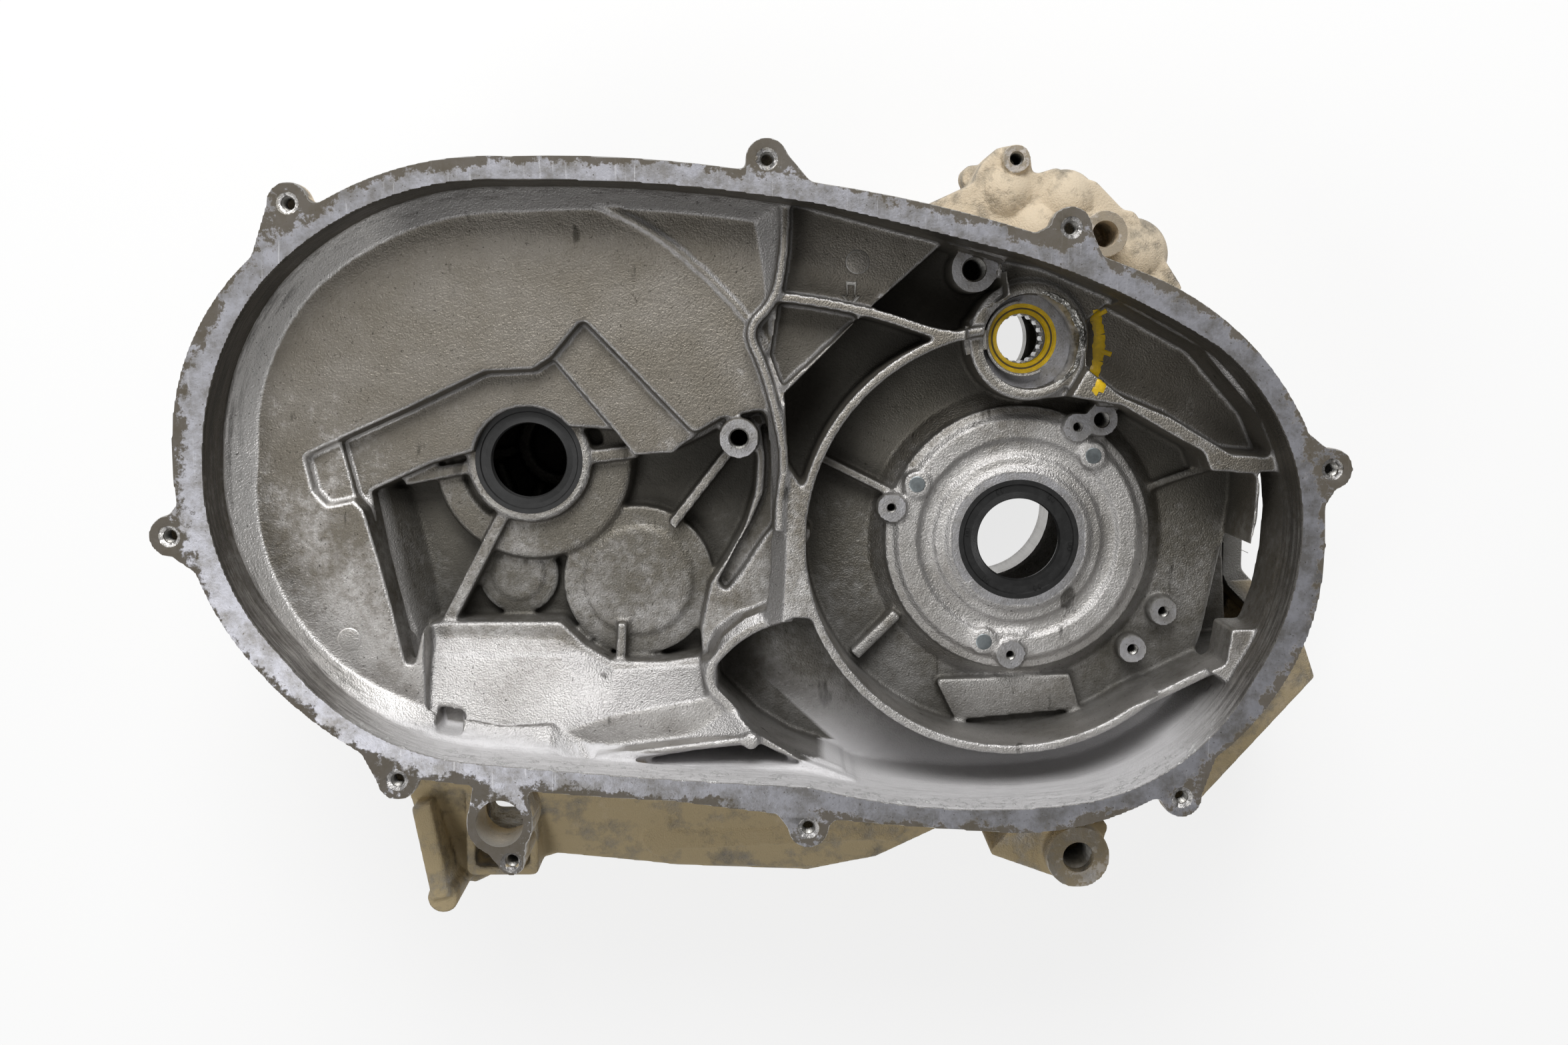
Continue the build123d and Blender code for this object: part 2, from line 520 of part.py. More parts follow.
with BuildPart() as case_wall:
    # crankcase wall with its joint rim, closed on top beside the housing, its lower side sloping
    slab(case_outside, RIM_T, z(CASE_DEPTH))
    add(lower_shave.part, mode=Mode.SUBTRACT)
    slab(polygon(CASE_EDGE, 4), 0, RIM_T)
    slab(polygon(UPPER_LOBE, 3), 0, z(CASE_DEPTH))
    for x, y, height, radius in LOBE_LUMPS:
        with Locations((x, y, height)):
            Sphere(radius)
    slab(under_housing, z(CASE_DEPTH), CASE_TOP + 1)
    add(case_room.part, mode=Mode.SUBTRACT)
    with BuildSketch(Plane.XY.offset(z(CASE_DEPTH) - CASE_WALL)):
        add(under_housing)
        offset(amount=-CASE_WALL)
    extrude(amount=CASE_TOP - z(CASE_DEPTH) + CASE_WALL, mode=Mode.SUBTRACT)

    # dividing wall, bearing seats, joint bosses and the cylinder face
    slab(chamber_wall, 0, CASE_TOP + 1)
    slab(disc(0, 0, CRANK_SEAT_R + 8), CRANK_SEAT_Z, CASE_TOP + 1)
    slab(disc(DRIVEN_X, DRIVEN_Y, DRIVEN_SEAT_R + 7), DRIVEN_SEAT_Z, CASE_TOP + 1)
    slab(polygon(CYLINDER_FACE), 0, z(CASE_DEPTH))
    slab(polygon(WINDOW_FLOOR_EDGE + WINDOW_BACK[::-1]), 0, CASE_TOP + 1)
    slab(polygon(WINDOW_FLOOR_EDGE + [(104, -67), (140, -64), (140, 38)]), 0, RIM_T)
    slab(polygon(WINDOW_SILL), 0, 16)
    slab(strip([(112, 40.6), (136, 40.6)], 5), 0, CASE_TOP + 1)
    slab(polygon(WINDOW_FOOT_WALL), 0, CASE_TOP + 1)
    for x, y in SCREWS + DOWELS:
        slab(disc(x, y, SCREW_BOSS_R), 0, z(CASE_DEPTH) if y > SLOPE_START else SCREW_THREAD + 8)
    slab(strip([(-319, -150), (-309, -203)], 11), 0, z(88))
    slab(disc(-309, -204, 8.5), 0, z(92))
    slab(polygon([(-181, -173.5), (-61, -169.5), (-61, -178), (-181, -184)], 1), 20, NUMBER_PAD_Z)
    with BuildSketch():
        with Locations(*SCREWS, *DOWELS):
            Circle(SCREW_BOSS_R)
        add(under_housing, mode=Mode.INTERSECT)
    extrude(amount=CASE_TOP + 1)
    slab(polygon(SHIFT_WELL_TOP, 4), 0, z(CASE_DEPTH))

    # engine mount boss, shift-shaft boss and the bosses round the cylinder face
    slab(disc(*MOUNT_BOSS, MOUNT_BOSS_R), 0, z(40))
    slab(polygon([(0, -150), (-14, -166), (22, -179), (40, -178), (50, -150)], 2), 0, z(52))
    slab(ear(*SHIFT_SCREW, 6.8, ((-245, -128), (-276, -137))), z(14), FLANGE_Z)
    slab(polygon([(-276, -128), (-272, -106), (-249, -106), (-245, -128)]), z(16), FLANGE_Z)
    slab(disc(*SHIFT_BORE, SHIFT_BORE_R + 4.8), z(30), FLANGE_Z)
    slab(disc(*SHIFT_SCREW, 6.8), z(40), FLANGE_Z)
    slab(disc(1.8, 197, 7.5), 0, z(95))
    slab(disc(44.1, 156.3, 12), 30, z(70))
    slab(disc(-16.5, 191, 6.5), 0, z(130))

with BuildPart() as bores:
    # seal seats and shaft openings, from the housing side
    slab(disc(1.9, 101.4, 24), z(STARTER_SEAL_DEPTH), z(30))
    slab(disc(STARTER_X, STARTER_Y, STARTER_SEAL_R), z(STARTER_SEAL_DEPTH + STARTER_SEAL_W + 0.5), z(30))
    slab(disc(STARTER_X, STARTER_Y, CUP_R), z(STARTER_SEAL_DEPTH + STARTER_SEAL_W + CUP_W + 1.5), z(30))
    slab(disc(STARTER_X, STARTER_Y, CUP_R - 3), z(90), z(30))
    slab(disc(DRIVEN_X, DRIVEN_Y, DRIVEN_SEAL_R), z(DRIVEN_SEAL_DEPTH + DRIVEN_SEAL_W + 0.5), z(30))
    slab(disc(DRIVEN_X, DRIVEN_Y, DRIVEN_SEAL_R - 2.5), z(90), z(30))
    slab(disc(DRIVEN_X, DRIVEN_Y, DRIVEN_SEAT_R), 50, DRIVEN_SEAT_Z + DRIVEN_SEAT_L)
    slab(disc(0, 0, CRANK_SEAL_R), z(CRANK_SEAL_DEPTH + CRANK_SEAL_W + 0.5), z(30))
    slab(disc(0, 0, CRANK_SEAL_R - 3), z(90), z(30))
    slab(disc(0, 0, CRANK_SEAT_R), 40, CRANK_SEAT_Z + CRANK_SEAT_L)

    # air window
    slab(polygon(WINDOW), RIM_T, z(WINDOW_DEPTH))

    # joint screws and dowels, from the joint face
    for x, y in SCREWS:
        slab(disc(x, y, SCREW_R + THREAD_CLEARANCE), -1, SCREW_THREAD + 4)
    for x, y in DOWELS:
        slab(disc(x, y, DOWEL_R), -1, DOWEL_L / 2 + 0.5)

    # mount, shift-shaft and screw holes
    slab(disc(*MOUNT_BOSS, MOUNT_HOLE_R), z(80), z(39))
    slab(disc(*SHIFT_BORE, SHIFT_BORE_R), z(31), FLANGE_Z + 1)
    slab(polygon([(-292, -146), (-262, -146), (-262, -189), (-292, -189)], 4), -1, z(CASE_DEPTH) + 5)
    slab(disc(*SHIFT_SCREW, 3.4), z(24), FLANGE_Z + 1)
    slab(disc(*SHIFT_SCREW, 4.8), z(3), FLANGE_Z + 1)
    slab(disc(1.8, 197, 3.8), -1, z(94))
    slab(disc(44.1, 156.3, 6.8), 40, z(69))
    with Locations(CYLINDER_PLANE.offset(90).location):
        Cylinder(CYLINDER_R, 110, align=(Align.CENTER, Align.CENTER, Align.MIN))
    for x, y, foot in LUGS:
        slab(disc(x, y, COVER_SCREW_R), z(LUG_T) - 1, FLANGE_Z + 1)
        slab(disc(x, y, COVER_SCREW_R + 1.9), z(1.5), FLANGE_Z + 1)
    for x, y in EARS:
        slab(disc(x, y, 2.6), z(72), z(55))
    slab(disc(41.6, 61.6, 4.2), z(74), z(55))
    slab(disc(77.6, -39.0, 3.0), z(76), z(61))
    slab(disc(61.9, -59.0, 3.0), z(76), z(61))
    slab(disc(-26.4, 137.1, 6.2), z(78), z(43))
    slab(disc(-143.7, 53.6, 5.2), z(78), z(33))

with BuildPart() as cvt_side_case:
    # housing block with its flange and screw lugs
    with BuildSketch(Plane.XY.offset(CASE_TOP)):
        add(smooth(INSIDE_EDGE))
        offset(amount=HOUSING_WALL)
    extrude(amount=HOUSING_DEPTH + HOUSING_FLOOR)
    slab(smooth(FLANGE_EDGE), z(FLANGE_T), FLANGE_Z)
    for x, y, foot in LUGS:
        slab(ear(x, y, LUG_R, foot), z(LUG_T), FLANGE_Z)
        slab(ear(x, y, LUG_R * 0.7, foot), z(LUG_STEM), z(LUG_T))
    add([housing_rooms.part, underside_rooms.part], mode=Mode.SUBTRACT, clean=False)
    add([air_walls.part, bosses.part, case_wall.part], clean=False)
    add(bores.part, mode=Mode.SUBTRACT, clean=False)
cvt_side_case.part.label = "cvt_side_case"
export_step(cvt_side_case.part, "parts/cvt_side_case.step")


with BuildPart() as magneto_side_case:
    # wall between the joint rim and the cover rim, with the end wall across it
    slab(polygon(CASE_EDGE, 4), -RIM_T, 0)
    slab(case_outside, COVER_FACE_Z, 0)
    slab(polygon(CASE_EDGE, 4), COVER_FACE_Z, COVER_FACE_Z + RIM_T)
    slab(polygon(CYLINDER_FACE), END_WALL_TOP - END_WALL_T, 0)
    slab(disc(*MOUNT_BOSS, MOUNT_BOSS_R), -60, 0)
    with BuildSketch():
        add(case_inside)
    extrude(amount=END_WALL_TOP, mode=Mode.SUBTRACT)
    with BuildSketch(Plane.XY.offset(COVER_FACE_Z)):
        add(case_inside)
    extrude(amount=END_WALL_TOP - END_WALL_T - COVER_FACE_Z, mode=Mode.SUBTRACT)

    # dividing wall, bearing bosses, ribs and screw bosses
    slab(chamber_wall, END_WALL_TOP, 0)
    slab(disc(0, 0, CRANK_SEAT_R + 8), COVER_FACE_Z + 8, END_WALL_TOP)
    slab(disc(STARTER_X, STARTER_Y, STARTER_END_R + 5), END_WALL_TOP - END_WALL_T - 8, END_WALL_TOP)
    slab(disc(DRIVEN_X, DRIVEN_Y, 25), END_WALL_TOP - END_WALL_T, -28)
    slab(strip([(-270, 38), (-318, 30)], 6), END_WALL_TOP, -36)
    slab(strip([(-262, 22), (-290, -40)], 6), END_WALL_TOP, -36)
    slab(strip([(-260, 60), (-284, 96)], 6), END_WALL_TOP, -36)
    slab(strip([(-292, 34), (-276, -6)], 6), END_WALL_TOP, -38)
    for x, y in SCREWS + DOWELS:
        slab(disc(x, y, SCREW_BOSS_R), END_WALL_TOP - END_WALL_T, 0)
    slab(polygon(SHIFT_WELL_LOW, 4), COVER_FACE_Z, 0)

    # bores and holes
    with Locations((0, 0, -100)):
        Cylinder(CRANK_SEAT_R, 90, align=(Align.CENTER, Align.CENTER, Align.MIN), mode=Mode.SUBTRACT)
    with Locations((STARTER_X, STARTER_Y, -100)):
        Cylinder(STARTER_END_R, 101, align=(Align.CENTER, Align.CENTER, Align.MIN), mode=Mode.SUBTRACT)
    with Locations((DRIVEN_X, DRIVEN_Y, -40)):
        Cylinder(17.5, 20, align=(Align.CENTER, Align.CENTER, Align.MIN), mode=Mode.SUBTRACT)
    with BuildSketch(Plane.XY.offset(-90)):
        with Locations(*SCREWS):
            Circle(SCREW_R + SCREW_HOLE_CLEARANCE)
    extrude(amount=100, mode=Mode.SUBTRACT)
    with BuildSketch(Plane.XY.offset(-DOWEL_L / 2 - 0.5)):
        with Locations(*DOWELS):
            Circle(DOWEL_R)
    extrude(amount=20, mode=Mode.SUBTRACT)
    with BuildSketch(Plane.XY.offset(-90)):
        add(polygon([(-304, -150), (-264, -150), (-264, -195), (-304, -195)], 4))
    extrude(amount=100, mode=Mode.SUBTRACT)
    with Locations(CYLINDER_PLANE.offset(90).location):
        Cylinder(CYLINDER_R, 110, align=(Align.CENTER, Align.CENTER, Align.MIN), mode=Mode.SUBTRACT)
magneto_side_case.part.label = "magneto_side_case"
export_step(magneto_side_case.part, "parts/magneto_side_case.step")


def seal_rubber(radius, lip, width):
    """Section of a seal's rubber turned about its axis, its face at zero height."""
    outside = radius - SEAL_FIT
    web = width * 0.45
    k = min(1.0, (radius - lip) / 9.0)
    with BuildPart() as rubber:
        with BuildSketch(Plane.XZ):
            with BuildLine():
                Polyline(
                    (outside, 0), (outside - 2.4 * k, 0), (outside - 3.0 * k, -0.9),
                    (lip + 3.6 * k, -0.9), (lip + 0.6 * k, -0.3), (lip + 0.2 * k, -0.9),
                    (lip + 1.7 * k, -2.6), (lip, -web - 1.0), (lip + 0.5 * k, -width + 0.6),
                    (lip + 3.0 * k, -width + 0.6), (lip + 3.4 * k, -web), (outside - 1.6 * k, -web),
                    (outside - 1.6 * k, -width), (outside, -width), close=True)
            make_face()
        revolve(axis=Axis.Z)
        with Locations((0, 0, SPRING_UP - width)):
            Torus(lip + SPRING_OUT * k, SPRING_R * k + SEAL_FIT, mode=Mode.SUBTRACT)
    return rubber.part


def seal_ring(radius, lip, width):
    """Steel case ring inside a seal's outer wall."""
    k = min(1.0, (radius - lip) / 9.0)
    outside = radius - 1.6 * k - 2 * SEAL_FIT
    with BuildPart() as ring:
        with BuildSketch(Plane.XY.offset(-width + 0.2)):
            Circle(outside)
            Circle(outside - 1.2 * k, mode=Mode.SUBTRACT)
        extrude(amount=width * 0.55 - 0.22)
    return ring.part


def seal_spring(radius, lip, width):
    """Garter spring that presses a seal's lip."""
    k = min(1.0, (radius - lip) / 9.0)
    with BuildPart() as spring:
        with Locations((0, 0, SPRING_UP - width)):
            Torus(lip + SPRING_OUT * k, SPRING_R * k)
    return spring.part


with BuildPart() as crank_seal:
    with Locations((0, 0, z(CRANK_SEAL_DEPTH))):
        add(seal_rubber(CRANK_SEAL_R, CRANK_LIP_R, CRANK_SEAL_W))
with BuildPart() as crank_seal_ring:
    with Locations((0, 0, z(CRANK_SEAL_DEPTH))):
        add(seal_ring(CRANK_SEAL_R, CRANK_LIP_R, CRANK_SEAL_W))
with BuildPart() as crank_seal_spring:
    with Locations((0, 0, z(CRANK_SEAL_DEPTH))):
        add(seal_spring(CRANK_SEAL_R, CRANK_LIP_R, CRANK_SEAL_W))

with BuildPart() as driven_shaft_seal:
    with Locations((DRIVEN_X, DRIVEN_Y, z(DRIVEN_SEAL_DEPTH))):
        add(seal_rubber(DRIVEN_SEAL_R, DRIVEN_LIP_R, DRIVEN_SEAL_W))
with BuildPart() as driven_seal_ring:
    with Locations((DRIVEN_X, DRIVEN_Y, z(DRIVEN_SEAL_DEPTH))):
        add(seal_ring(DRIVEN_SEAL_R, DRIVEN_LIP_R, DRIVEN_SEAL_W))
with BuildPart() as driven_seal_spring:
    with Locations((DRIVEN_X, DRIVEN_Y, z(DRIVEN_SEAL_DEPTH))):
        add(seal_spring(DRIVEN_SEAL_R, DRIVEN_LIP_R, DRIVEN_SEAL_W))

with BuildPart() as starter_shaft_seal:
    with Locations((STARTER_X, STARTER_Y, z(STARTER_SEAL_DEPTH))):
        add(seal_rubber(STARTER_SEAL_R, STARTER_LIP_R, STARTER_SEAL_W))
with BuildPart() as starter_seal_ring:
    with Locations((STARTER_X, STARTER_Y, z(STARTER_SEAL_DEPTH))):
        add(seal_ring(STARTER_SEAL_R, STARTER_LIP_R, STARTER_SEAL_W))
with BuildPart() as starter_seal_spring:
    with Locations((STARTER_X, STARTER_Y, z(STARTER_SEAL_DEPTH))):
        add(seal_spring(STARTER_SEAL_R, STARTER_LIP_R, STARTER_SEAL_W))

# needle bearing below the starter seal: drawn cup, cage and rollers
with BuildPart() as needle_bearing_cup:
    with BuildSketch(Plane.XY.offset(BEARING_Z)):
        with Locations((STARTER_X, STARTER_Y)):
            Circle(CUP_R - SEAL_FIT)
            Circle(CUP_R - CUP_WALL, mode=Mode.SUBTRACT)
    extrude(amount=CUP_W)
    for lip_z in (BEARING_Z, BEARING_Z + CUP_W - CUP_WALL):
        with BuildSketch(Plane.XY.offset(lip_z)):
            with Locations((STARTER_X, STARTER_Y)):
                Circle(CUP_R - CUP_WALL)
                Circle(ROLLER_PITCH_R + 0.6, mode=Mode.SUBTRACT)
        extrude(amount=CUP_WALL)
with BuildPart() as needle_bearing_cage:
    with BuildSketch(Plane.XY.offset(BEARING_Z + CUP_WALL + 0.1)):
        with Locations((STARTER_X, STARTER_Y)):
            Circle(ROLLER_PITCH_R + 1.0)
            Circle(ROLLER_PITCH_R - 0.6, mode=Mode.SUBTRACT)
    extrude(amount=CUP_W - 2 * CUP_WALL - 0.2)
    with BuildSketch(Plane.XY.offset(ROLLER_Z - 0.05)):
        with Locations((STARTER_X, STARTER_Y)):
            with PolarLocations(ROLLER_PITCH_R, ROLLER_COUNT):
                Circle(ROLLER_R + 0.03)
    extrude(amount=ROLLER_L + 0.1, mode=Mode.SUBTRACT)
with BuildPart() as needle_rollers:
    with BuildSketch(Plane.XY.offset(ROLLER_Z)):
        with Locations((STARTER_X, STARTER_Y)):
            with PolarLocations(ROLLER_PITCH_R, ROLLER_COUNT):
                Circle(ROLLER_R)
    extrude(amount=ROLLER_L)

# hollow dowels and hexagon-socket screws of the joint
with BuildPart() as locating_dowels:
    with BuildSketch(Plane.XY.offset(-DOWEL_L / 2)):
        with Locations(*DOWELS):
            Circle(DOWEL_R - DOWEL_FIT)
            Circle(DOWEL_R - 1.6, mode=Mode.SUBTRACT)
    extrude(amount=DOWEL_L)
with BuildPart() as case_screws:
    with BuildSketch(Plane.XY.offset(SCREW_SEAT_Z)):
        with Locations(*SCREWS):
            Circle(SCREW_R)
    extrude(amount=SCREW_THREAD - SCREW_SEAT_Z)
    with BuildSketch(Plane.XY.offset(SCREW_SEAT_Z - SCREW_HEAD_H)):
        with Locations(*SCREWS):
            Circle(SCREW_HEAD_R)
    extrude(amount=SCREW_HEAD_H)
    with BuildSketch(Plane.XY.offset(SCREW_SEAT_Z - SCREW_HEAD_H)):
        with Locations(*SCREWS):
            RegularPolygon(3.4, 6)
    extrude(amount=4, mode=Mode.SUBTRACT)

pieces = {
    "crank_seal": crank_seal,
    "crank_seal_ring": crank_seal_ring,
    "crank_seal_spring": crank_seal_spring,
    "driven_shaft_seal": driven_shaft_seal,
    "driven_seal_ring": driven_seal_ring,
    "driven_seal_spring": driven_seal_spring,
    "starter_shaft_seal": starter_shaft_seal,
    "starter_seal_ring": starter_seal_ring,
    "starter_seal_spring": starter_seal_spring,
    "needle_bearing_cup": needle_bearing_cup,
    "needle_bearing_cage": needle_bearing_cage,
    "needle_rollers": needle_rollers,
    "locating_dowels": locating_dowels,
    "case_screws": case_screws,
}
for name, piece in pieces.items():
    piece.part.label = name
    export_step(piece.part, f"parts/{name}.step")
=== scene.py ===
import bmesh
import bpy
import numpy as np
from math import cos, pi, radians, sin
from mathutils import Matrix, Vector, noise


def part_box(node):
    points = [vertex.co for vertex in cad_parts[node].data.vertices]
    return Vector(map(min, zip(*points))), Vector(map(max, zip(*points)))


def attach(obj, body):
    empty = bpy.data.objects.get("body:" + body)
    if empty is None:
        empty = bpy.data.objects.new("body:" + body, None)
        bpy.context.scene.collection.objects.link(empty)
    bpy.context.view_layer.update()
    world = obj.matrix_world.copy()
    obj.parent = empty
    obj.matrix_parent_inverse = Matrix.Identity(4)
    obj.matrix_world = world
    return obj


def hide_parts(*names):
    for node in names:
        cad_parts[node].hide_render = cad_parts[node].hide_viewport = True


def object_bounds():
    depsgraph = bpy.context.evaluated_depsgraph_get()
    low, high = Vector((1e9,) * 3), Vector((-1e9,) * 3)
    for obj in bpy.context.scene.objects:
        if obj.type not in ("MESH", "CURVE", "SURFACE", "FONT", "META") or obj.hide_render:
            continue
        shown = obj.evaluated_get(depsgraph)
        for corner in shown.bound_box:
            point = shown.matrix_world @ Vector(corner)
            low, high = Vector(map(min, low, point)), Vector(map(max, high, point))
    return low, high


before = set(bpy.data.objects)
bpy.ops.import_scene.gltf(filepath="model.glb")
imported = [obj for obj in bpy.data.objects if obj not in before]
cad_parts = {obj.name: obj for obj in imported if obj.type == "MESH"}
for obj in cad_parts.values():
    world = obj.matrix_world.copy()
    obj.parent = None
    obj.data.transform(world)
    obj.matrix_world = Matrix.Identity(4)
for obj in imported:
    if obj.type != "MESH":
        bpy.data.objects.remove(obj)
cad_low, cad_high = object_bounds()

# Belt-drive side casting: gravity die-cast aluminium, one casting with its belt housing, air walls
# and bosses. The cast skin keeps its fine grain, and the cover flange, seal seats and screw pads
# are milled bright. Corners are dark with belt dust and painted shade, and the outside is caked with sandy
# soil.
MM = 0.001
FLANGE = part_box("cvt_side_case")[1].z
CASTING_VOXEL = 1.15 * MM
CASTING_FACES = 190000
MILL_GRIP = 1.1 * MM
STARTER = (-1.2, 103.0)
STARTER_BORE = (1.9, 101.4)
DRIVEN = (-251.5, 41.0)
LUGS = [(-352.9, 165.6), (-129.6, 186.0), (13.3, 154.6), (140.7, 40.8),
        (73.4, -120.4), (-109.6, -135.2), (-309.9, -110.7), (-414.8, 9.2)]
EARS = [(-65.7, 16.4), (-3.1, -60.7), (29.4, 58.0)]
# Inside of the belt housing's wall, seen from above
INSIDE_EDGE = [
    (-397.1, 45.8), (-389.7, 87.5), (-364.9, 130.3), (-316.9, 164), (-250, 176), (-176, 174),
    (-104.2, 165), (-42, 150.1), (-8.3, 141.5), (43, 121.5), (84, 99), (112, 67.5),
    (127.1, 17.1), (122.9, -23.4), (106, -62), (78, -98), (27.8, -122.5), (-30.5, -126),
    (-109.1, -114.5), (-208.5, -108), (-274.5, -102), (-323.5, -86), (-362, -51), (-390, -6),
]


def depth(below_flange):
    """Height in metres of a face this many millimetres below the cover flange."""
    return FLANGE - below_flange * MM


# Milled pads: centre, radius and depth below the flange of each face that a cutter has cleaned
MILLED_PADS = [
    ((0, 0), 34.5, 56), ((-143.7, 53.6), 10, 34), ((-26.4, 137.1), 11.5, 44),
    ((41.6, 61.6), 8.5, 56), ((77.6, -39.0), 7.5, 62), ((61.9, -59.0), 7.5, 62),
    ((31.3, -164.0), 16.5, 40), ((1.8, 197.0), 7.5, 95), ((44.1, 156.3), 12, 70), (STARTER_BORE, 24, 50),
] + [(ear, 7.5, 56) for ear in EARS]
# Drilled and bored holes: centre, radius, top and bottom depth below the flange
BORED_HOLES = [
    ((0, 0), 31, 56, 64), ((0, 0), 28, 66, 90), (DRIVEN, 27.5, 57, 65), (DRIVEN, 25, 67, 88),
    (STARTER, 17.5, 50, 57.5), (STARTER, 16, 58.5, 74), (STARTER_BORE, 24, 41, 50),
    ((31.3, -164.0), 8, 40, 75), ((-260.6, -132.6), 11.7, 0, 110), ((-255.3, -152.1), 3.4, 3, 22),
    ((-143.7, 53.6), 5.2, 34, 77), ((-26.4, 137.1), 6.2, 44, 77), ((41.6, 61.6), 4.2, 56, 73),
    ((77.6, -39.0), 3.0, 62, 75), ((61.9, -59.0), 3.0, 62, 75), ((1.8, 197.0), 3.8, 95, 140),
    ((44.1, 156.3), 6.8, 70, 105),
] + [(lug, 3.4, 1.5, 11) for lug in LUGS] + [(lug, 5.3, 0, 1.2) for lug in LUGS] \
  + [(ear, 2.6, 56, 71) for ear in EARS]


def mill(mesh, planes, pads, holes):
    """Puts the points nearest to a milled plane, pad or hole exactly on it, so that cut edges are crisp."""
    co = np.empty(len(mesh.vertices) * 3)
    mesh.vertices.foreach_get("co", co)
    co = co.reshape(-1, 3)
    for height in planes:
        near = np.abs(co[:, 2] - height) < MILL_GRIP * 0.75
        co[near, 2] = height
    for (x, y), radius, below in pads:
        away = np.hypot(co[:, 0] - x * MM, co[:, 1] - y * MM)
        near = (np.abs(co[:, 2] - depth(below)) < MILL_GRIP) & (away < (radius + 0.5) * MM)
        co[near, 2] = depth(below)
    for (x, y), radius, top, bottom in holes:
        off = co[:, :2] - np.array([x, y]) * MM
        away = np.maximum(np.hypot(off[:, 0], off[:, 1]), 1e-6)
        inside = (co[:, 2] < depth(top) + MILL_GRIP) & (co[:, 2] > depth(bottom))
        near = (np.abs(away - radius * MM) < MILL_GRIP) & inside
        co[near, :2] = np.array([x, y]) * MM + off[near] / away[near, None] * radius * MM
    mesh.vertices.foreach_set("co", co.ravel())
    mesh.update()


def apply_modifiers(piece):
    """Replaces a piece's mesh with the result of its modifiers."""
    mesh = bpy.data.meshes.new_from_object(piece.evaluated_get(bpy.context.evaluated_depsgraph_get()))
    piece.modifiers.clear()
    piece.data = mesh


def block(sections):
    """A closed solid through cross-sections in millimetres that have as many points each."""
    count = len(sections[0])
    faces = [tuple(reversed(range(count))), tuple(range(count * (len(sections) - 1), count * len(sections)))]
    for i in range(len(sections) - 1):
        faces += [(i * count + k, i * count + (k + 1) % count, (i + 1) * count + (k + 1) % count,
                   (i + 1) * count + k) for k in range(count)]
    mesh = bpy.data.meshes.new("block")
    mesh.from_pydata([Vector(point) * MM for section in sections for point in section], [], faces)
    solid = bmesh.new()
    solid.from_mesh(mesh)
    bmesh.ops.recalc_face_normals(solid, faces=solid.faces)
    solid.to_mesh(mesh)
    solid.free()
    made = bpy.data.objects.new("block", mesh)
    bpy.context.scene.collection.objects.link(made)
    return made


def cast(name, node, voxel, faces, planes, pads, holes, added=(), opened=()):
    """A casting with the radii that the solid lacks: melted together, eased, then milled."""
    body = bmesh.new()
    body.from_mesh(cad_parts[node].data)
    bmesh.ops.remove_doubles(body, verts=body.verts, dist=1e-6)
    mesh = bpy.data.meshes.new(name)
    body.to_mesh(mesh)
    body.free()
    piece = bpy.data.objects.new(name, mesh)
    bpy.context.scene.collection.objects.link(piece)
    for operation, parts in (("UNION", added), ("DIFFERENCE", opened)):
        for sections in parts:
            tool = block(sections)
            change = piece.modifiers.new("change", "BOOLEAN")
            change.operation = operation
            change.object = tool
            apply_modifiers(piece)
            bpy.data.objects.remove(tool)
    melt = piece.modifiers.new("melt", "REMESH")
    melt.mode = "VOXEL"
    melt.voxel_size = voxel
    ease = piece.modifiers.new("ease", "SMOOTH")
    ease.factor = 0.5
    ease.iterations = 7
    apply_modifiers(piece)
    mill(piece.data, planes, pads, holes)
    thin = piece.modifiers.new("thin", "DECIMATE")
    thin.ratio = min(1.0, faces / (2 * len(piece.data.polygons)))
    apply_modifiers(piece)
    piece.data.shade_smooth()
    piece.data.set_sharp_from_angle(angle=radians(48))
    weigh = piece.modifiers.new("weigh", "WEIGHTED_NORMAL")
    weigh.keep_sharp = True
    weigh.weight = 80
    apply_modifiers(piece)
    return piece


# Wedge that closes the slit between the pocket's floor and the head of the lower ramp
RAMP_HEAD = [
    [(-305, -44, 60), (-305, -44, 93.7), (-305, -49, 93.7), (-305, -64, 99.8), (-305, -64, 60)],
    [(-238, -44.3, 60), (-238, -44.3, 93.7), (-238, -50.8, 93.7), (-238, -64, 98.7), (-238, -64, 60)],
    [(-224, -56.8, 60), (-224, -56.8, 93.7), (-224, -58.8, 93.7), (-224, -66, 97.2), (-224, -66, 60)],
    [(-212, -63.5, 60), (-212, -63.5, 93.7), (-212, -66.5, 93.7), (-212, -68.5, 94.4), (-212, -68.5, 60)],
]
# Air window at the right: open from the housing floor's edge to the wall, and through the sill
WINDOW = [(114, 37), (115.1, 30.8), (114.8, 14.5), (110, -5.7), (106, -25.9), (103.5, -42), (116.3, -42),
          (122.4, -24), (125.8, -4), (126.9, 17), (124.8, 37)]
SILL = [(131.5, 34.5), (165, 34.5), (165, -62), (134, -62), (131, -20)]


def upright(outline, low, high):
    """Lower and upper outline of an upright block, heights in millimetres above the joint plane."""
    return [[(x, y, level) for x, y in outline] for level in (low, high)]


def round_outline(x, y, radius, count=48):
    """Points round a circle."""
    turns = [2 * pi * i / count for i in range(count)]
    return [(x + radius * cos(turn), y + radius * sin(turn)) for turn in turns]


STARTER_WELL = round_outline(*STARTER, 15.5)
case = cast("belt_side_casting", "cvt_side_case", CASTING_VOXEL, CASTING_FACES,
            [FLANGE], MILLED_PADS + [(DRIVEN, 30, 57)], BORED_HOLES, [RAMP_HEAD],
            [upright(WINDOW, 87, 122.6), upright(SILL, -1, 8.6), upright(STARTER_WELL, -1, 60.8)])


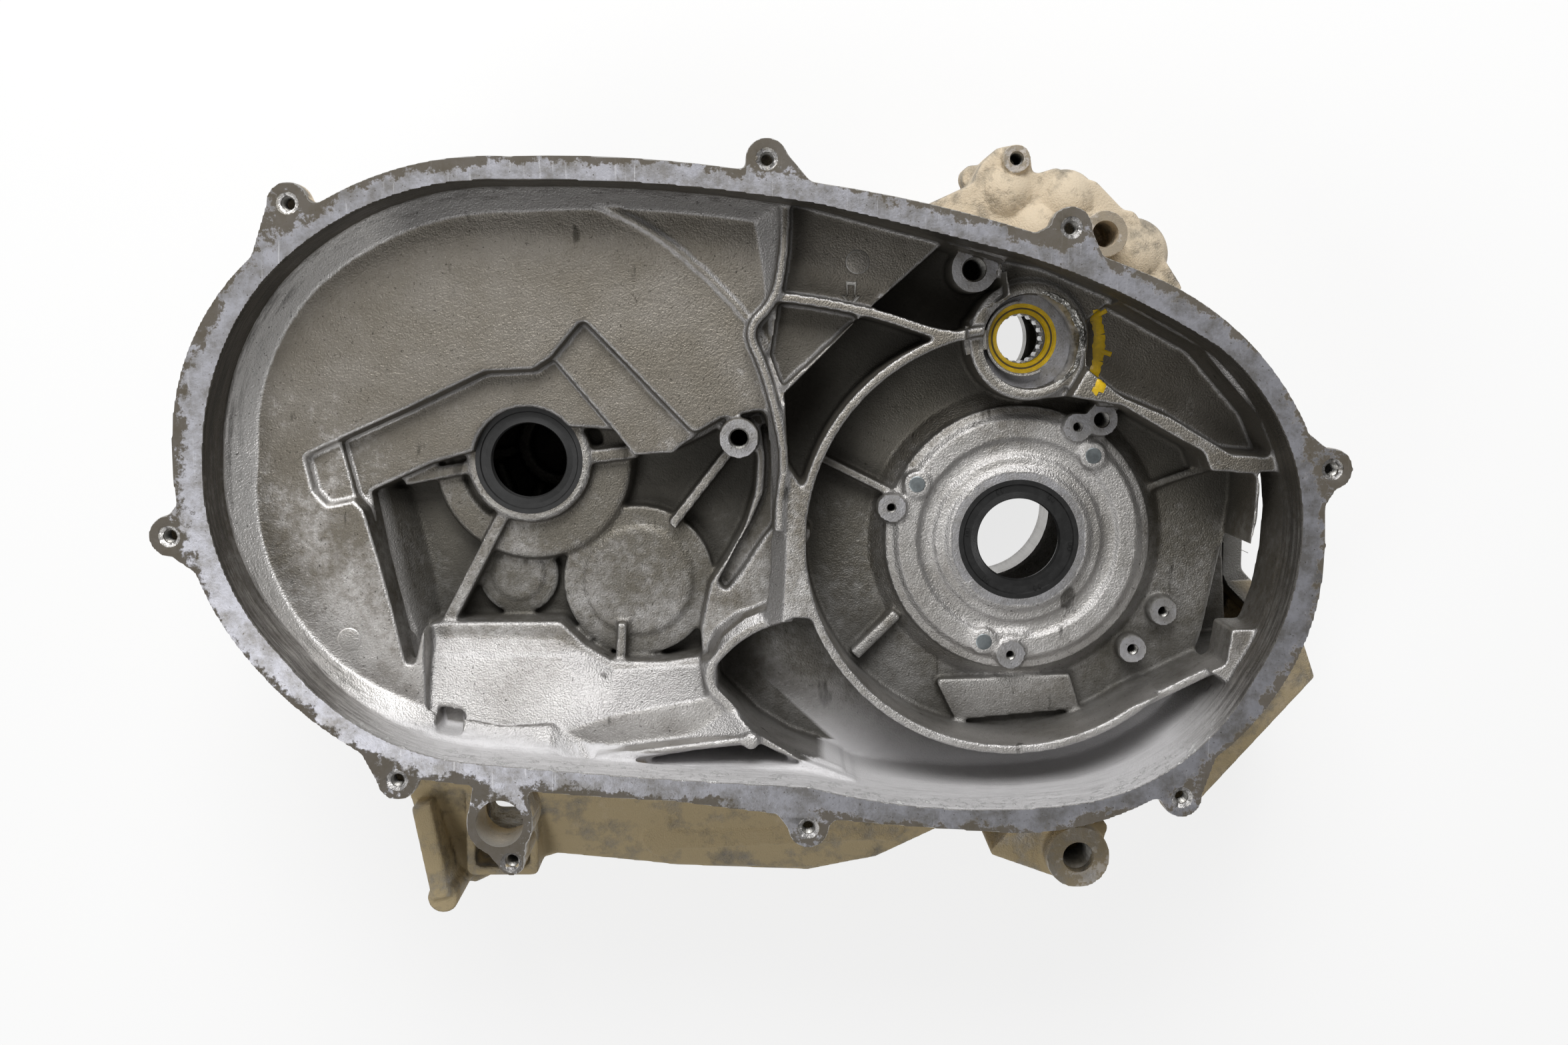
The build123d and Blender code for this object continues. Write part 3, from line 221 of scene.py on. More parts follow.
def outside_edge(co):
    """How far each point lies outside the housing's inside edge, less than nothing inside it."""
    marks = np.array(INSIDE_EDGE) * MM
    line = []
    for i in range(len(marks)):
        a, b, c, d = (marks[(i + k) % len(marks)] for k in (-1, 0, 1, 2))
        for t in np.arange(0, 1, 0.125):
            line.append(b + 0.5 * t * (c - a + t * (2 * a - 5 * b + 4 * c - d + t * (3 * b - a - 3 * c + d))))
    nearest = np.full(len(co), 9.0)
    within = np.zeros(len(co), bool)
    for start, end in zip(line, line[1:] + line[:1]):
        run = end - start
        off = co[:, :2] - start
        along = np.clip(off @ run / (run @ run), 0, 1)
        nearest = np.minimum(nearest, np.hypot(*(off - along[:, None] * run).T))
        level = (start[1] > co[:, 1]) != (end[1] > co[:, 1])
        within ^= level & (off[:, 0] < off[:, 1] * run[0] / (run[1] or 1e-9))
    return np.where(within, -nearest, nearest)


def mark_areas(piece, pads):
    """Marks a casting's points: milled faces, the rim's outer edge, the inner wall, the soiled outside."""
    mesh = piece.data
    co = np.empty(len(mesh.vertices) * 3)
    mesh.vertices.foreach_get("co", co)
    co = co.reshape(-1, 3)
    out = outside_edge(co)
    on_rim = np.abs(co[:, 2] - FLANGE) < 0.15 * MM
    milled = on_rim * 1.0
    for (x, y), radius, below in pads:
        away = np.hypot(co[:, 0] - x * MM, co[:, 1] - y * MM)
        milled[(away < (radius + 0.6) * MM) & (np.abs(co[:, 2] - depth(below)) < 0.15 * MM)] = 0.6
    window = (co[:, 0] > 0.09) & (co[:, 1] > -0.07) & (co[:, 1] < 0.045) & (co[:, 0] < 0.15)
    soiled = (out > 3.2 * MM) & (co[:, 2] < depth(2.5)) & ~window
    wall = (out > -5 * MM) & (out < 2.5 * MM) & ~on_rim
    wall &= co[:, 2] > np.where(co[:, 1] < -0.075, depth(90), depth(52))
    rim = (milled > 0) * np.clip(out / (11 * MM), 0, 1)
    marks = {"milled": milled, "rim": rim, "outside": soiled, "wall": wall}
    for name, values in marks.items():
        layer = mesh.attributes.new(name, "FLOAT", "POINT")
        layer.data.foreach_set("value", np.asarray(values, np.float32))


mark_areas(case, MILLED_PADS)


def node_tools(material):
    """A short way to add and join nodes in a material."""
    tree = material.node_tree
    tree.nodes.clear()

    def add(kind, inputs=(), **settings):
        node = tree.nodes.new(kind)
        for key, value in settings.items():
            setattr(node, key, value)
        for key, value in dict(inputs).items():
            if hasattr(value, "is_output"):
                tree.links.new(value, node.inputs[key])
            else:
                node.inputs[key].default_value = value
        return node
    return add


def steps(add, value, stops):
    """Grey or colour steps along a value between 0 and 1."""
    ramp = add("ShaderNodeValToRGB", {"Fac": value})
    band = ramp.color_ramp
    while len(band.elements) < len(stops):
        band.elements.new(0.5)
    for element, (place, shade) in zip(band.elements, stops):
        element.position = place
        element.color = (*shade, 1) if hasattr(shade, "__len__") else (shade, shade, shade, 1)
    return ramp.outputs["Color"]


def maths(add, operation, a, b=0.0):
    """One sum between two numbers."""
    return add("ShaderNodeMath", {0: a, 1: b}, operation=operation).outputs[0]


def blend(add, amount, first, second):
    """Two colours mixed by an amount."""
    return add("ShaderNodeMix", {0: amount, 6: first, 7: second}, data_type="RGBA").outputs[2]


def speckle(add, place, scale, detail=4.0, rough=0.55, stretch=None, turn=0.0):
    """Noise at a scale in features to the metre."""
    if stretch:
        laid = {"Vector": place, "Rotation": (0, 0, turn), "Scale": stretch}
        place = add("ShaderNodeMapping", laid).outputs[0]
    return add("ShaderNodeTexNoise", {"Vector": place, "Scale": scale, "Detail": detail,
                                      "Roughness": rough}).outputs["Fac"]


CAST_LIGHT = (0.52, 0.505, 0.49, 1)
CAST_GREY = (0.33, 0.315, 0.295, 1)
# Several colours below are partly painted shade or painted light: the film, dust, crest, streak, ramp,
# shoulder and lower-wall colours
BROWN_FILM_AND_SHADE = (0.145, 0.127, 0.097, 1)
DEEP_DUST_AND_SHADE = (0.075, 0.073, 0.062, 1)
BELT_DUST_AND_SHADE = (0.028, 0.025, 0.019, 1)
WORN_EDGE_AND_HIGHLIGHT = (0.70, 0.69, 0.67, 1)
RAMP_LIT_GREY = (0.42, 0.41, 0.405, 1)
SHOULDER_HIGHLIGHT = (0.84, 0.82, 0.80, 1)
LOW_WALL_LIT = (0.74, 0.73, 0.74, 1)
MILLED_GREY = (0.43, 0.43, 0.465, 1)
MILLED_DULL = (0.23, 0.22, 0.21, 1)
RIM_CRUST = (0.075, 0.06, 0.038, 1)
WHITE_RUST = (0.72, 0.72, 0.71, 1)
STREAK_AND_SHADE_DARK = (0.10, 0.093, 0.084, 1)
SCRATCH_BRIGHT = (0.75, 0.75, 0.77, 1)
SOIL_DARK = (0.50, 0.40, 0.235, 1)
SOIL_LIGHT = (0.66, 0.56, 0.42, 1)


def cast_aluminium(name):
    """Cast skin with fine grain, brown film and belt dust mixed with painted shade, painted light on slopes
    and the lower wall, milled faces, and sandy soil outside.
    """
    material = bpy.data.materials.new(name)
    material.use_nodes = True
    add = node_tools(material)
    place = add("ShaderNodeTexCoord").outputs["Object"]
    x, y, height = add("ShaderNodeSeparateXYZ", {0: place}).outputs
    surface = add("ShaderNodeNewGeometry").outputs
    facing = add("ShaderNodeSeparateXYZ", {0: surface["True Normal"]}).outputs[2]
    tilt = add("ShaderNodeSeparateXYZ", {0: surface["Normal"]}).outputs[2]

    def mark(area):
        return add("ShaderNodeAttribute", attribute_name=area).outputs["Fac"]

    # skin: grey clouds, brown film and painted shade towards the cylinder side, dust and painted shade in
    # corners, the crank plate spared that shade, painted light on slopes, and bright edges, worn and partly
    # painted highlight
    clouds = speckle(add, place, 30.0, 6.0, 0.6)
    mottle = speckle(add, place, 210.0, 6.0, 0.7)
    pits = speckle(add, place, 620.0, 3.0, 0.6)
    reach = maths(add, "ADD", maths(add, "POWER", x, 2.0), maths(add, "POWER", y, 2.0))
    reach = maths(add, "POWER", reach, 0.5)
    # the crank plate round the crank is spared the painted shade and film below
    plate_spared = steps(add, maths(add, "MULTIPLY", reach, 10.0), [(0.6, 1.0), (0.8, 0.0)])
    deep = maths(add, "SUBTRACT", FLANGE, height)
    deep = steps(add, maths(add, "MULTIPLY", deep, 10.0), [(0.47, 0.0), (0.75, 1.0)])
    deep = maths(add, "MULTIPLY", deep, maths(add, "SUBTRACT", 1.0, plate_spared))
    skin = blend(add, steps(add, clouds, [(0.38, 0.0), (0.62, 1.0)]), CAST_LIGHT, CAST_GREY)
    # brown film: mottled stains plus painted shade that grows towards +y, where the walls shade the floors,
    # and with depth
    film = maths(add, "MULTIPLY", maths(add, "ADD", y, 0.078), 8.0)
    film = maths(add, "ADD", film, maths(add, "MULTIPLY", maths(add, "SUBTRACT", mottle, 0.5), 2.2))
    film = maths(add, "ADD", film, maths(add, "MULTIPLY", maths(add, "SUBTRACT", clouds, 0.5), 1.6))
    film = maths(add, "SUBTRACT", maths(add, "ADD", film, maths(add, "MULTIPLY", deep, 0.35)), plate_spared)
    skin = blend(add, steps(add, film, [(0.1, 0.0), (0.95, 0.8)]), skin, BROWN_FILM_AND_SHADE)
    # deep pockets darkened by depth: dust and painted shade
    skin = blend(add, maths(add, "MULTIPLY", deep, 0.5), skin, DEEP_DUST_AND_SHADE)
    # slopes that face up, high in the housing, take a clean grey and the left shoulder a bright one: painted
    # light
    lit_slope = maths(add, "MULTIPLY", steps(add, tilt, [(0.25, 0.0), (0.42, 1.0), (0.90, 1.0), (0.98, 0.0)]),
                  steps(add, maths(add, "MULTIPLY", height, 10.0), [(0.84, 0.0), (0.95, 0.9)]))
    skin = blend(add, lit_slope, skin, RAMP_LIT_GREY)
    left = steps(add, maths(add, "MULTIPLY", x, -1.0), [(0.303, 0.0), (0.322, 1.0)])
    skin = blend(add, maths(add, "MULTIPLY", lit_slope, left), skin, SHOULDER_HIGHLIGHT)
    # corners found by ambient occlusion are darkened as belt dust and painted shade, more towards +y and in
    # deep pockets, less on slopes and the lower wall
    shade = add("ShaderNodeAmbientOcclusion", {"Distance": 0.03}, samples=8).outputs["AO"]
    corner = maths(add, "MULTIPLY", maths(add, "SUBTRACT", 1.0, shade), maths(add, "ADD", clouds, 0.7))
    settled_and_shaded = maths(add, "MAXIMUM", steps(add, maths(add, "ADD", maths(add, "MULTIPLY", y, 4.0), 0.5),
                                          [(0.1, 0.25), (0.7, 0.6)]), maths(add, "MULTIPLY", deep, 0.9))
    settled_and_shaded = maths(add, "MULTIPLY", settled_and_shaded, maths(add, "SUBTRACT", 1.0, maths(add, "MULTIPLY", lit_slope, 0.6)))
    low_side = steps(add, maths(add, "MULTIPLY", y, -8.0), [(0.55, 0.0), (0.8, 1.0)])
    low_side = maths(add, "MULTIPLY", low_side, mark("wall"))
    settled_and_shaded = maths(add, "MULTIPLY", settled_and_shaded, maths(add, "SUBTRACT", 1.0, low_side))
    dust_and_shade = maths(add, "MULTIPLY", steps(add, corner, [(0.16, 0.0), (0.66, 0.95)]), settled_and_shaded)
    skin = blend(add, dust_and_shade, skin, BELT_DUST_AND_SHADE)
    skin = blend(add, steps(add, pits, [(0.28, 0.75), (0.37, 0.0)]), skin, BELT_DUST_AND_SHADE)
    dashes = steps(add, speckle(add, place, 95.0, 3.0, 0.5, (1.0, 0.3, 1.0), 0.5), [(0.69, 0.0), (0.74, 0.7)])
    skin = blend(add, dashes, skin, BELT_DUST_AND_SHADE)
    # convex crests lightened: worn edges and painted highlight
    crest = surface["Pointiness"]
    skin = blend(add, steps(add, crest, [(0.515, 0.0), (0.60, 0.6)]), skin, WORN_EDGE_AND_HIGHLIGHT)
    # concave creases darkened: painted shade
    skin = blend(add, steps(add, crest, [(0.42, 0.7), (0.487, 0.0)]), skin, BELT_DUST_AND_SHADE)

    # inner wall: dark streaks that the belt's wind has drawn, thicker near the flange as painted shade, and
    # the lower side painted lighter as painted light, with white rust
    wall = mark("wall")
    # lower side of the wall lightened: painted light
    skin = blend(add, maths(add, "MULTIPLY", low_side, 0.9), skin, LOW_WALL_LIT)
    streak_and_shade = speckle(add, place, 60.0, 5.0, 0.7, (1.0, 0.35, 7.0))
    lower = maths(add, "MULTIPLY", maths(add, "SUBTRACT", FLANGE, height), 20.0)
    # the streaks gather near the flange: painted shade on the top of the wall
    streak_and_shade = maths(add, "SUBTRACT", streak_and_shade, maths(add, "MULTIPLY", lower, 0.22))
    streak_and_shade = maths(add, "MULTIPLY", steps(add, streak_and_shade, [(0.34, 0.0), (0.54, 0.8)]), wall)
    kept = maths(add, "SUBTRACT", 1.0, maths(add, "MULTIPLY", low_side, 0.75))
    streak_and_shade = maths(add, "MULTIPLY", streak_and_shade, kept)
    skin = blend(add, streak_and_shade, skin, STREAK_AND_SHADE_DARK)
    rust = steps(add, speckle(add, place, 190.0, 6.0, 0.75), [(0.55, 0.0), (0.61, 1.0)])
    near_rim = steps(add, lower, [(0.2, 1.0), (0.5, 0.0)])
    rust = maths(add, "MULTIPLY", rust, maths(add, "MULTIPLY", low_side, near_rim))
    skin = blend(add, rust, skin, WHITE_RUST)

    # sandy soil clings to the outside below the flange, mottled and lighter towards the cylinder side as
    # painted light
    outside = mark("outside")
    cling = maths(add, "ADD", speckle(add, place, 48.0, 7.0, 0.68), maths(add, "MULTIPLY", facing, 0.06))
    soil = maths(add, "MULTIPLY", steps(add, cling, [(0.36, 0.12), (0.56, 0.95)]), outside)
    lit_side = maths(add, "ADD", maths(add, "MULTIPLY", y, 2.2), speckle(add, place, 75.0, 6.0, 0.6))
    soil_tint = blend(add, steps(add, lit_side, [(0.2, 0.0), (0.78, 1.0)]), SOIL_DARK, SOIL_LIGHT)
    skin = blend(add, soil, skin, soil_tint)

    # milled faces: flange, pads and seats, with stains, fine scratches and a crusted outer rim
    milled = maths(add, "MULTIPLY", maths(add, "GREATER_THAN", facing, 0.95), mark("milled"))
    stain = steps(add, speckle(add, place, 85.0, 8.0, 0.72), [(0.42, 0.0), (0.62, 0.9)])
    bright = blend(add, stain, MILLED_GREY, MILLED_DULL)
    for turn, share in ((0.8, 0.5), (-0.55, 0.35), (1.9, 0.3)):
        line = speckle(add, place, 520.0, 2.0, 0.5, (1.0, 0.06, 1.0), turn)
        line = steps(add, line, [(0.66, 0.0), (0.72, share)])
        patch = steps(add, clouds, [(0.42, 0.0), (0.6, 1.0)])
        bright = blend(add, maths(add, "MULTIPLY", line, patch), bright, SCRATCH_BRIGHT)
    crust = maths(add, "MULTIPLY", maths(add, "SUBTRACT", mottle, 0.5), 1.1)
    crust = maths(add, "ADD", crust, maths(add, "MULTIPLY", maths(add, "SUBTRACT", clouds, 0.5), 1.1))
    crust = maths(add, "ADD", crust, maths(add, "MULTIPLY", mark("rim"), 0.62))
    crust = steps(add, crust, [(0.46, 0.0), (0.56, 0.9)])
    bright = blend(add, crust, bright, RIM_CRUST)
    bright = blend(add, steps(add, pits, [(0.30, 0.8), (0.36, 0.0)]), bright, RIM_CRUST)
    colour = blend(add, milled, skin, bright)

    # relief: sand-like grain over soft waves, crusts of soil and rust, quiet milled faces
    grain = speckle(add, place, 1050.0, 2.5, 0.6)
    relief = maths(add, "ADD", maths(add, "MULTIPLY", grain, 0.55), maths(add, "MULTIPLY", mottle, 0.5))
    relief = maths(add, "ADD", relief, maths(add, "MULTIPLY", maths(add, "ADD", soil, rust), 0.9))
    quiet = maths(add, "SUBTRACT", 1.0, maths(add, "MULTIPLY", milled, 0.88))
    bump = add("ShaderNodeBump", {"Height": maths(add, "MULTIPLY", relief, quiet), "Strength": 0.75,
                                  "Distance": 0.0011})
    dull = maths(add, "MAXIMUM", maths(add, "MAXIMUM", dust_and_shade, soil), maths(add, "MULTIPLY", crust, milled))
    dull = maths(add, "MAXIMUM", maths(add, "MAXIMUM", dull, rust), maths(add, "MULTIPLY", low_side, 0.8))
    rough = maths(add, "ADD", 0.33, maths(add, "MULTIPLY", mottle, 0.2))
    rough = maths(add, "ADD", rough, maths(add, "MULTIPLY", dull, 0.35))
    metal = maths(add, "SUBTRACT", 0.92, maths(add, "MULTIPLY", dull, 0.85))
    shader = add("ShaderNodeBsdfPrincipled", {"Base Color": colour, "Roughness": rough, "Metallic": metal,
                                              "Normal": bump.outputs[0]})
    add("ShaderNodeOutputMaterial", {"Surface": shader.outputs[0]})
    return material


case.data.materials.clear()
case.data.materials.append(cast_aluminium("cast_aluminium"))
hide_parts("cvt_side_case")
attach(case, "crankcase")

# Magneto side casting: the other half, cast in the same metal, whose cover rim the case lies on.
# The same sandy soil covers it, and its bores and joint face are milled.
far = cast("magneto_side_casting", "magneto_side_case", 1.5 * MM, 90000,
           [0.0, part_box("magneto_side_case")[0].z], [], [((0, 0), 40, 151, 230), (STARTER, 26, 151, 250)])
mark_areas(far, [])
far.data.materials.clear()
far.data.materials.append(case.data.materials[0])
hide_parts("magneto_side_case")
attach(far, "crankcase")


# Tapped threads of the screw holes: cut in the castings with a tap, so they are the same aluminium,
# dark with old thread lock. One ridge winds down each hole.
def piece_from(name, points, faces, material):
    """A piece in metres from points in millimetres, on the crankcase body."""
    mesh = bpy.data.meshes.new(name)
    mesh.from_pydata([Vector(point) * MM for point in points], [], faces)
    mesh.materials.append(material)
    made = bpy.data.objects.new(name, mesh)
    bpy.context.scene.collection.objects.link(made)
    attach(made, "crankcase")
    return made


def plain_metal(name, colour, roughness, metallic=1.0, film=0.45, grain=900.0):
    """Metal with a cloudy film of oil and dust and fine tool lines."""
    material = bpy.data.materials.new(name)
    material.use_nodes = True
    add = node_tools(material)
    place = add("ShaderNodeTexCoord").outputs["Object"]
    cloudy = speckle(add, place, 130.0, 5.0, 0.6)
    darker = tuple(part * (1 - film) for part in colour) + (1,)
    tint = blend(add, steps(add, cloudy, [(0.42, 0.0), (0.68, 1.0)]), (*colour, 1), darker)
    lines = speckle(add, place, grain, 2.0)
    bump = add("ShaderNodeBump", {"Height": lines, "Strength": 0.25, "Distance": 0.0003})
    rough = maths(add, "ADD", roughness, maths(add, "MULTIPLY", cloudy, 0.15))
    shader = add("ShaderNodeBsdfPrincipled", {"Base Color": tint, "Roughness": rough, "Metallic": metallic,
                                              "Normal": bump.outputs[0]})
    add("ShaderNodeOutputMaterial", {"Surface": shader.outputs[0]})
    return material


# Tapped holes: centre, radius, depth of the first turn below the flange, length and pitch
TAPPED = [
    ((-143.7, 53.6), 5.2, 36, 26, 1.5), ((-26.4, 137.1), 6.2, 47, 26, 1.75),
    ((41.6, 61.6), 4.2, 58, 14, 1.25), ((77.6, -39.0), 3.0, 63.5, 11, 1.0),
    ((61.9, -59.0), 3.0, 63.5, 11, 1.0), ((31.3, -164.0), 8.0, 46, 26, 2.0),
    ((-255.3, -152.1), 3.4, 4.5, 16, 1.25), ((1.8, 197.0), 3.8, 97, 30, 1.25),
] + [(lug, 3.4, 2.2, 8.3, 1.25) for lug in LUGS] + [(ear, 2.6, 57, 13, 1.0) for ear in EARS]
TURN_STEPS = 20
points, faces = [], []
for (x, y), radius, top, length, pitch in TAPPED:
    first = len(points)
    count = int(length / pitch * TURN_STEPS)
    for i in range(count + 1):
        angle = 2 * pi * i / TURN_STEPS
        for reach, lift in ((radius + 0.12, 0.44), (radius - 0.5 * pitch, 0.0), (radius + 0.12, -0.44)):
            level = FLANGE / MM - top - pitch * (i / TURN_STEPS - lift)
            points.append((x + reach * cos(angle), y + reach * sin(angle), level))
    for i in range(count):
        for k in range(3):
            a, b = first + 3 * i + k, first + 3 * i + (k + 1) % 3
            faces.append((a, a + 3, b + 3, b))
    last = first + 3 * count
    faces += [(first, first + 1, first + 2), (last + 2, last + 1, last)]
piece_from("tapped_threads", points, faces, plain_metal("thread_aluminium", (0.36, 0.35, 0.33), 0.35))


# Round plugs in the crank plate and ejector marks on the floors: the plugs are pressed steel discs
# with a smooth blue-grey face, and the marks are where pins pushed the casting out of its die.
def resting_height(x, y):
    """Height in millimetres of the casting's surface below a point."""
    hit, spot, *_ = case.ray_cast(Vector((x * MM, y * MM, FLANGE + 0.1)), Vector((0, 0, -1)))
    return spot.z / MM


COIN_STEPS = 40


def coins(name, spots, radius, proud, material):
    """Low round discs with a rounded edge, each bedded in the surface below it."""
    profile = [(radius - 0.7, proud), (radius - 0.25, proud * 0.6), (radius, -0.1), (radius, -1.0)]
    points, faces = [], []
    for x, y in spots:
        probes = [(x + radius * 0.7 * cos(a), y + radius * 0.7 * sin(a)) for a in (0, 1.6, 3.1, 4.7)]
        base = min(resting_height(*probe) for probe in probes)
        first = len(points)
        points.append((x, y, base + proud))
        for reach, lift in profile:
            points += [(px, py, base + lift) for px, py in round_outline(x, y, reach, COIN_STEPS)]
        turns = [(i, (i + 1) % COIN_STEPS) for i in range(COIN_STEPS)]
        faces += [(first, first + 1 + i, first + 1 + j) for i, j in turns]
        for ring in range(len(profile) - 1):
            start = first + 1 + COIN_STEPS * ring
            below = start + COIN_STEPS
            faces += [(start + i, below + i, below + j, start + j) for i, j in turns]
        foot = first + 1 + COIN_STEPS * (len(profile) - 1)
        faces.append(tuple(foot + i for i in reversed(range(COIN_STEPS))))
    made = piece_from(name, points, faces, material)
    made.data.shade_smooth()
    made.data.set_sharp_from_angle(angle=radians(35))
    return made


coins("crank_plate_plugs", [(-52.6, 28.5), (-17.1, -53.7), (37.8, 43.2)], 4.3, 0.15,
      plain_metal("plug_steel", (0.30, 0.33, 0.34), 0.35))
coins("ejector_marks", [(-341, -48.3), (-84.4, 140.9)], 6.1, 0.4, case.data.materials[0])

# Cast arrow on the top plate: a plain raised outline that was cut into the die and stands half a
# millimetre above the cast skin, in the same aluminium.
ARROW = [(0, -8.5), (4.6, -3.4), (2.1, -3.6), (2.6, 3.6), (-2.4, 3.9), (-2.0, -3.3), (-4.6, -3.0)]
ARROW_SPOT = (-87.7, 127.3)
ARROW_MIDDLE = 1.5
base = resting_height(*ARROW_SPOT)
points = []
for grow, lift in ((1.12, -0.5), (1.0, 0.45), (0.72, 0.45), (0.6, -0.5)):
    points += [(ARROW_SPOT[0] + x * grow,
                ARROW_SPOT[1] + (y + ARROW_MIDDLE) * grow - ARROW_MIDDLE, base + lift)
               for x, y in ARROW]
count = len(ARROW)
faces = [(k * count + i, k * count + (i + 1) % count, ((k + 1) % 4) * count + (i + 1) % count,
          ((k + 1) % 4) * count + i) for k in range(4) for i in range(count)]
piece_from("casting_arrow", points, faces, case.data.materials[0])

# Worn crescent beside the starter seal: a loose gear has chewed the boss, and the torn aluminium
# stands up in ridges that shine where they are fresh.
CRESCENT_STEPS = 110
CRESCENT_ROWS = 22
points, faces = [], []
for i in range(CRESCENT_STEPS + 1):
    share = i / CRESCENT_STEPS
    angle = radians(-58 + 140 * share)
    width = sin(pi * share) ** 0.45
    for k in range(CRESCENT_ROWS + 1):
        across = k / CRESCENT_ROWS
        reach = 24.5 + (across - 0.5) * 7.6 * width
        x, y = STARTER_BORE[0] + reach * cos(angle), STARTER_BORE[1] + reach * sin(angle)
        torn = noise.turbulence(Vector((x * 0.32, y * 0.32, 1.7)), 4, True)
        ridge = noise.noise(Vector((x * 0.11, y * 0.11, 4.0)))
        ledge = 50.2 - 9.4 * min(1, max(0, (across + 0.25 * ridge) / 0.4)) ** 0.8
        edge = min(1, across * 9, (1 - across) * 5, share * 14, (1 - share) * 14)
        points.append((x, y, FLANGE / MM - ledge + edge * (torn * 1.7 - 0.2) - (1 - edge) * 0.9))
for i in range(CRESCENT_STEPS):
    for k in range(CRESCENT_ROWS):
        a = i * (CRESCENT_ROWS + 1) + k
        faces.append((a, a + 1, a + CRESCENT_ROWS + 2, a + CRESCENT_ROWS + 1))
torn_metal = plain_metal("torn_aluminium", (0.62, 0.61, 0.58), 0.3, 0.95, 0.75, 700.0)
piece_from("worn_crescent", points, faces, torn_metal)

# Web of the starter boss: the left-over ridge that ties the seal's collar to the boss wall between two
# crescent-shaped hollows, cast with the case.
def arc_ridge(points, faces, start, end, inner, outer, top, foot):
    """A curved ridge round the starter seal between two angles, its top edges eased."""
    first = len(points)
    parts = max(3, int(abs(end - start) / 4))
    section = [(inner, foot), (inner, top - 0.5), (inner + 0.5, top), (outer - 0.5, top), (outer, top - 0.5),
               (outer, foot)]
    for i in range(parts + 1):
        angle = radians(start + (end - start) * i / parts)
        points += [(STARTER[0] + reach * cos(angle), STARTER[1] + reach * sin(angle), level)
                   for reach, level in section]
    count = len(section)
    for i in range(parts):
        a = first + i * count
        faces += [(a + k, a + k + 1, a + count + k + 1, a + count + k) for k in range(count - 1)]
    faces.append(tuple(range(first, first + count)))
    faces.append(tuple(reversed(range(first + parts * count, first + (parts + 1) * count))))


points, faces = [], []
arc_ridge(points, faces, 98, 300, 17.6, 19.2, FLANGE / MM - 44.5, FLANGE / MM - 51)
arc_ridge(points, faces, 168, 196, 18.6, 30, FLANGE / MM - 42.2, FLANGE / MM - 51)
piece_from("starter_boss_web", points, faces, case.data.materials[0])

# Yellow inspection paint: a stripe of thick paint, brushed by hand on the cast skin beside the starter
# boss, with two runs. The same paint covers the starter seal.
PAINT_LINE = [
    (35.5, 117.5), (36.6, 112), (38.5, 105), (38.2, 99.5), (37.9, 91.7), (35.8, 84), (33.6, 77), (30.5, 78.4),
]
PAINT_WIDTHS = [2.4, 2.8, 2.8, 3.3, 2.6, 2.5, 2.6, 1.2]
PAINT_DROPS = [((41.6, 117.0), (37.0, 114.4), 1.1), ((44.6, 94.9), (38.0, 97.2), 1.3)]
BRUSH_POINTS = 7


def stroke(points, faces, start, end, width_a, width_b):
    """A flat brush stroke between two points that follows the surface below it."""
    run = Vector(end) - Vector(start)
    side = Vector((-run.y, run.x)).normalized()
    first = len(points)
    parts = max(2, int(run.length / 0.8))
    for i in range(parts + 1):
        share = i / parts
        centre = Vector(start) + run * share
        half = (width_a + (width_b - width_a) * share) * (1 + 0.25 * noise.noise(Vector((*centre, 0)) * 0.5))
        for k in range(BRUSH_POINTS):
            across = k / 3 - 1
            spot = centre + side * half * across
            points.append((*spot, resting_height(*spot) + 0.45 * (1 - across ** 4) + 0.02))
    for i in range(parts):
        for k in range(BRUSH_POINTS - 1):
            a = first + BRUSH_POINTS * i + k
            faces.append((a, a + BRUSH_POINTS, a + BRUSH_POINTS + 1, a + 1))


def rubber(name, colour, roughness, lift=0.02, shade_ring=None):
    """Moulded rubber or thick paint with faint bloom and dust, and a dark ring of painted shade round (x, y,
    radius) for a groove.
    """
    material = bpy.data.materials.new(name)
    material.use_nodes = True
    add = node_tools(material)
    place = add("ShaderNodeTexCoord").outputs["Object"]
    lighter = tuple(min(1, part * 1.5 + lift) for part in colour) + (1,)
    tint = blend(add, steps(add, speckle(add, place, 240.0, 6.0, 0.7), [(0.45, 0.0), (0.75, 1.0)]),
                 (*colour, 1), lighter)
    # a dark ring painted where the seal's groove would be: painted shade
    if shade_ring:
        x, y, radius = shade_ring
        middle = (x * MM, y * MM, 0)
        away = add("ShaderNodeVectorMath", {0: place, 1: middle}, operation="SUBTRACT").outputs[0]
        away = add("ShaderNodeVectorMath", {0: away, 1: (1, 1, 0)}, operation="MULTIPLY").outputs[0]
        away = add("ShaderNodeVectorMath", {0: away}, operation="LENGTH").outputs["Value"]
        away = maths(add, "ABSOLUTE", maths(add, "SUBTRACT", away, radius * MM), 0.0)
        ring_shade = steps(add, maths(add, "MULTIPLY", away, 1000.0), [(0.35, 0.92), (0.6, 0.0)])
        tint = blend(add, ring_shade, tint, (0.02, 0.018, 0.012, 1))
    pores = speckle(add, place, 1800.0, 2.0)
    bump = add("ShaderNodeBump", {"Height": pores, "Strength": 0.15, "Distance": 0.0003})
    shader = add("ShaderNodeBsdfPrincipled", {"Base Color": tint, "Roughness": roughness,
                                              "Normal": bump.outputs[0]})
    add("ShaderNodeOutputMaterial", {"Surface": shader.outputs[0]})
    return material


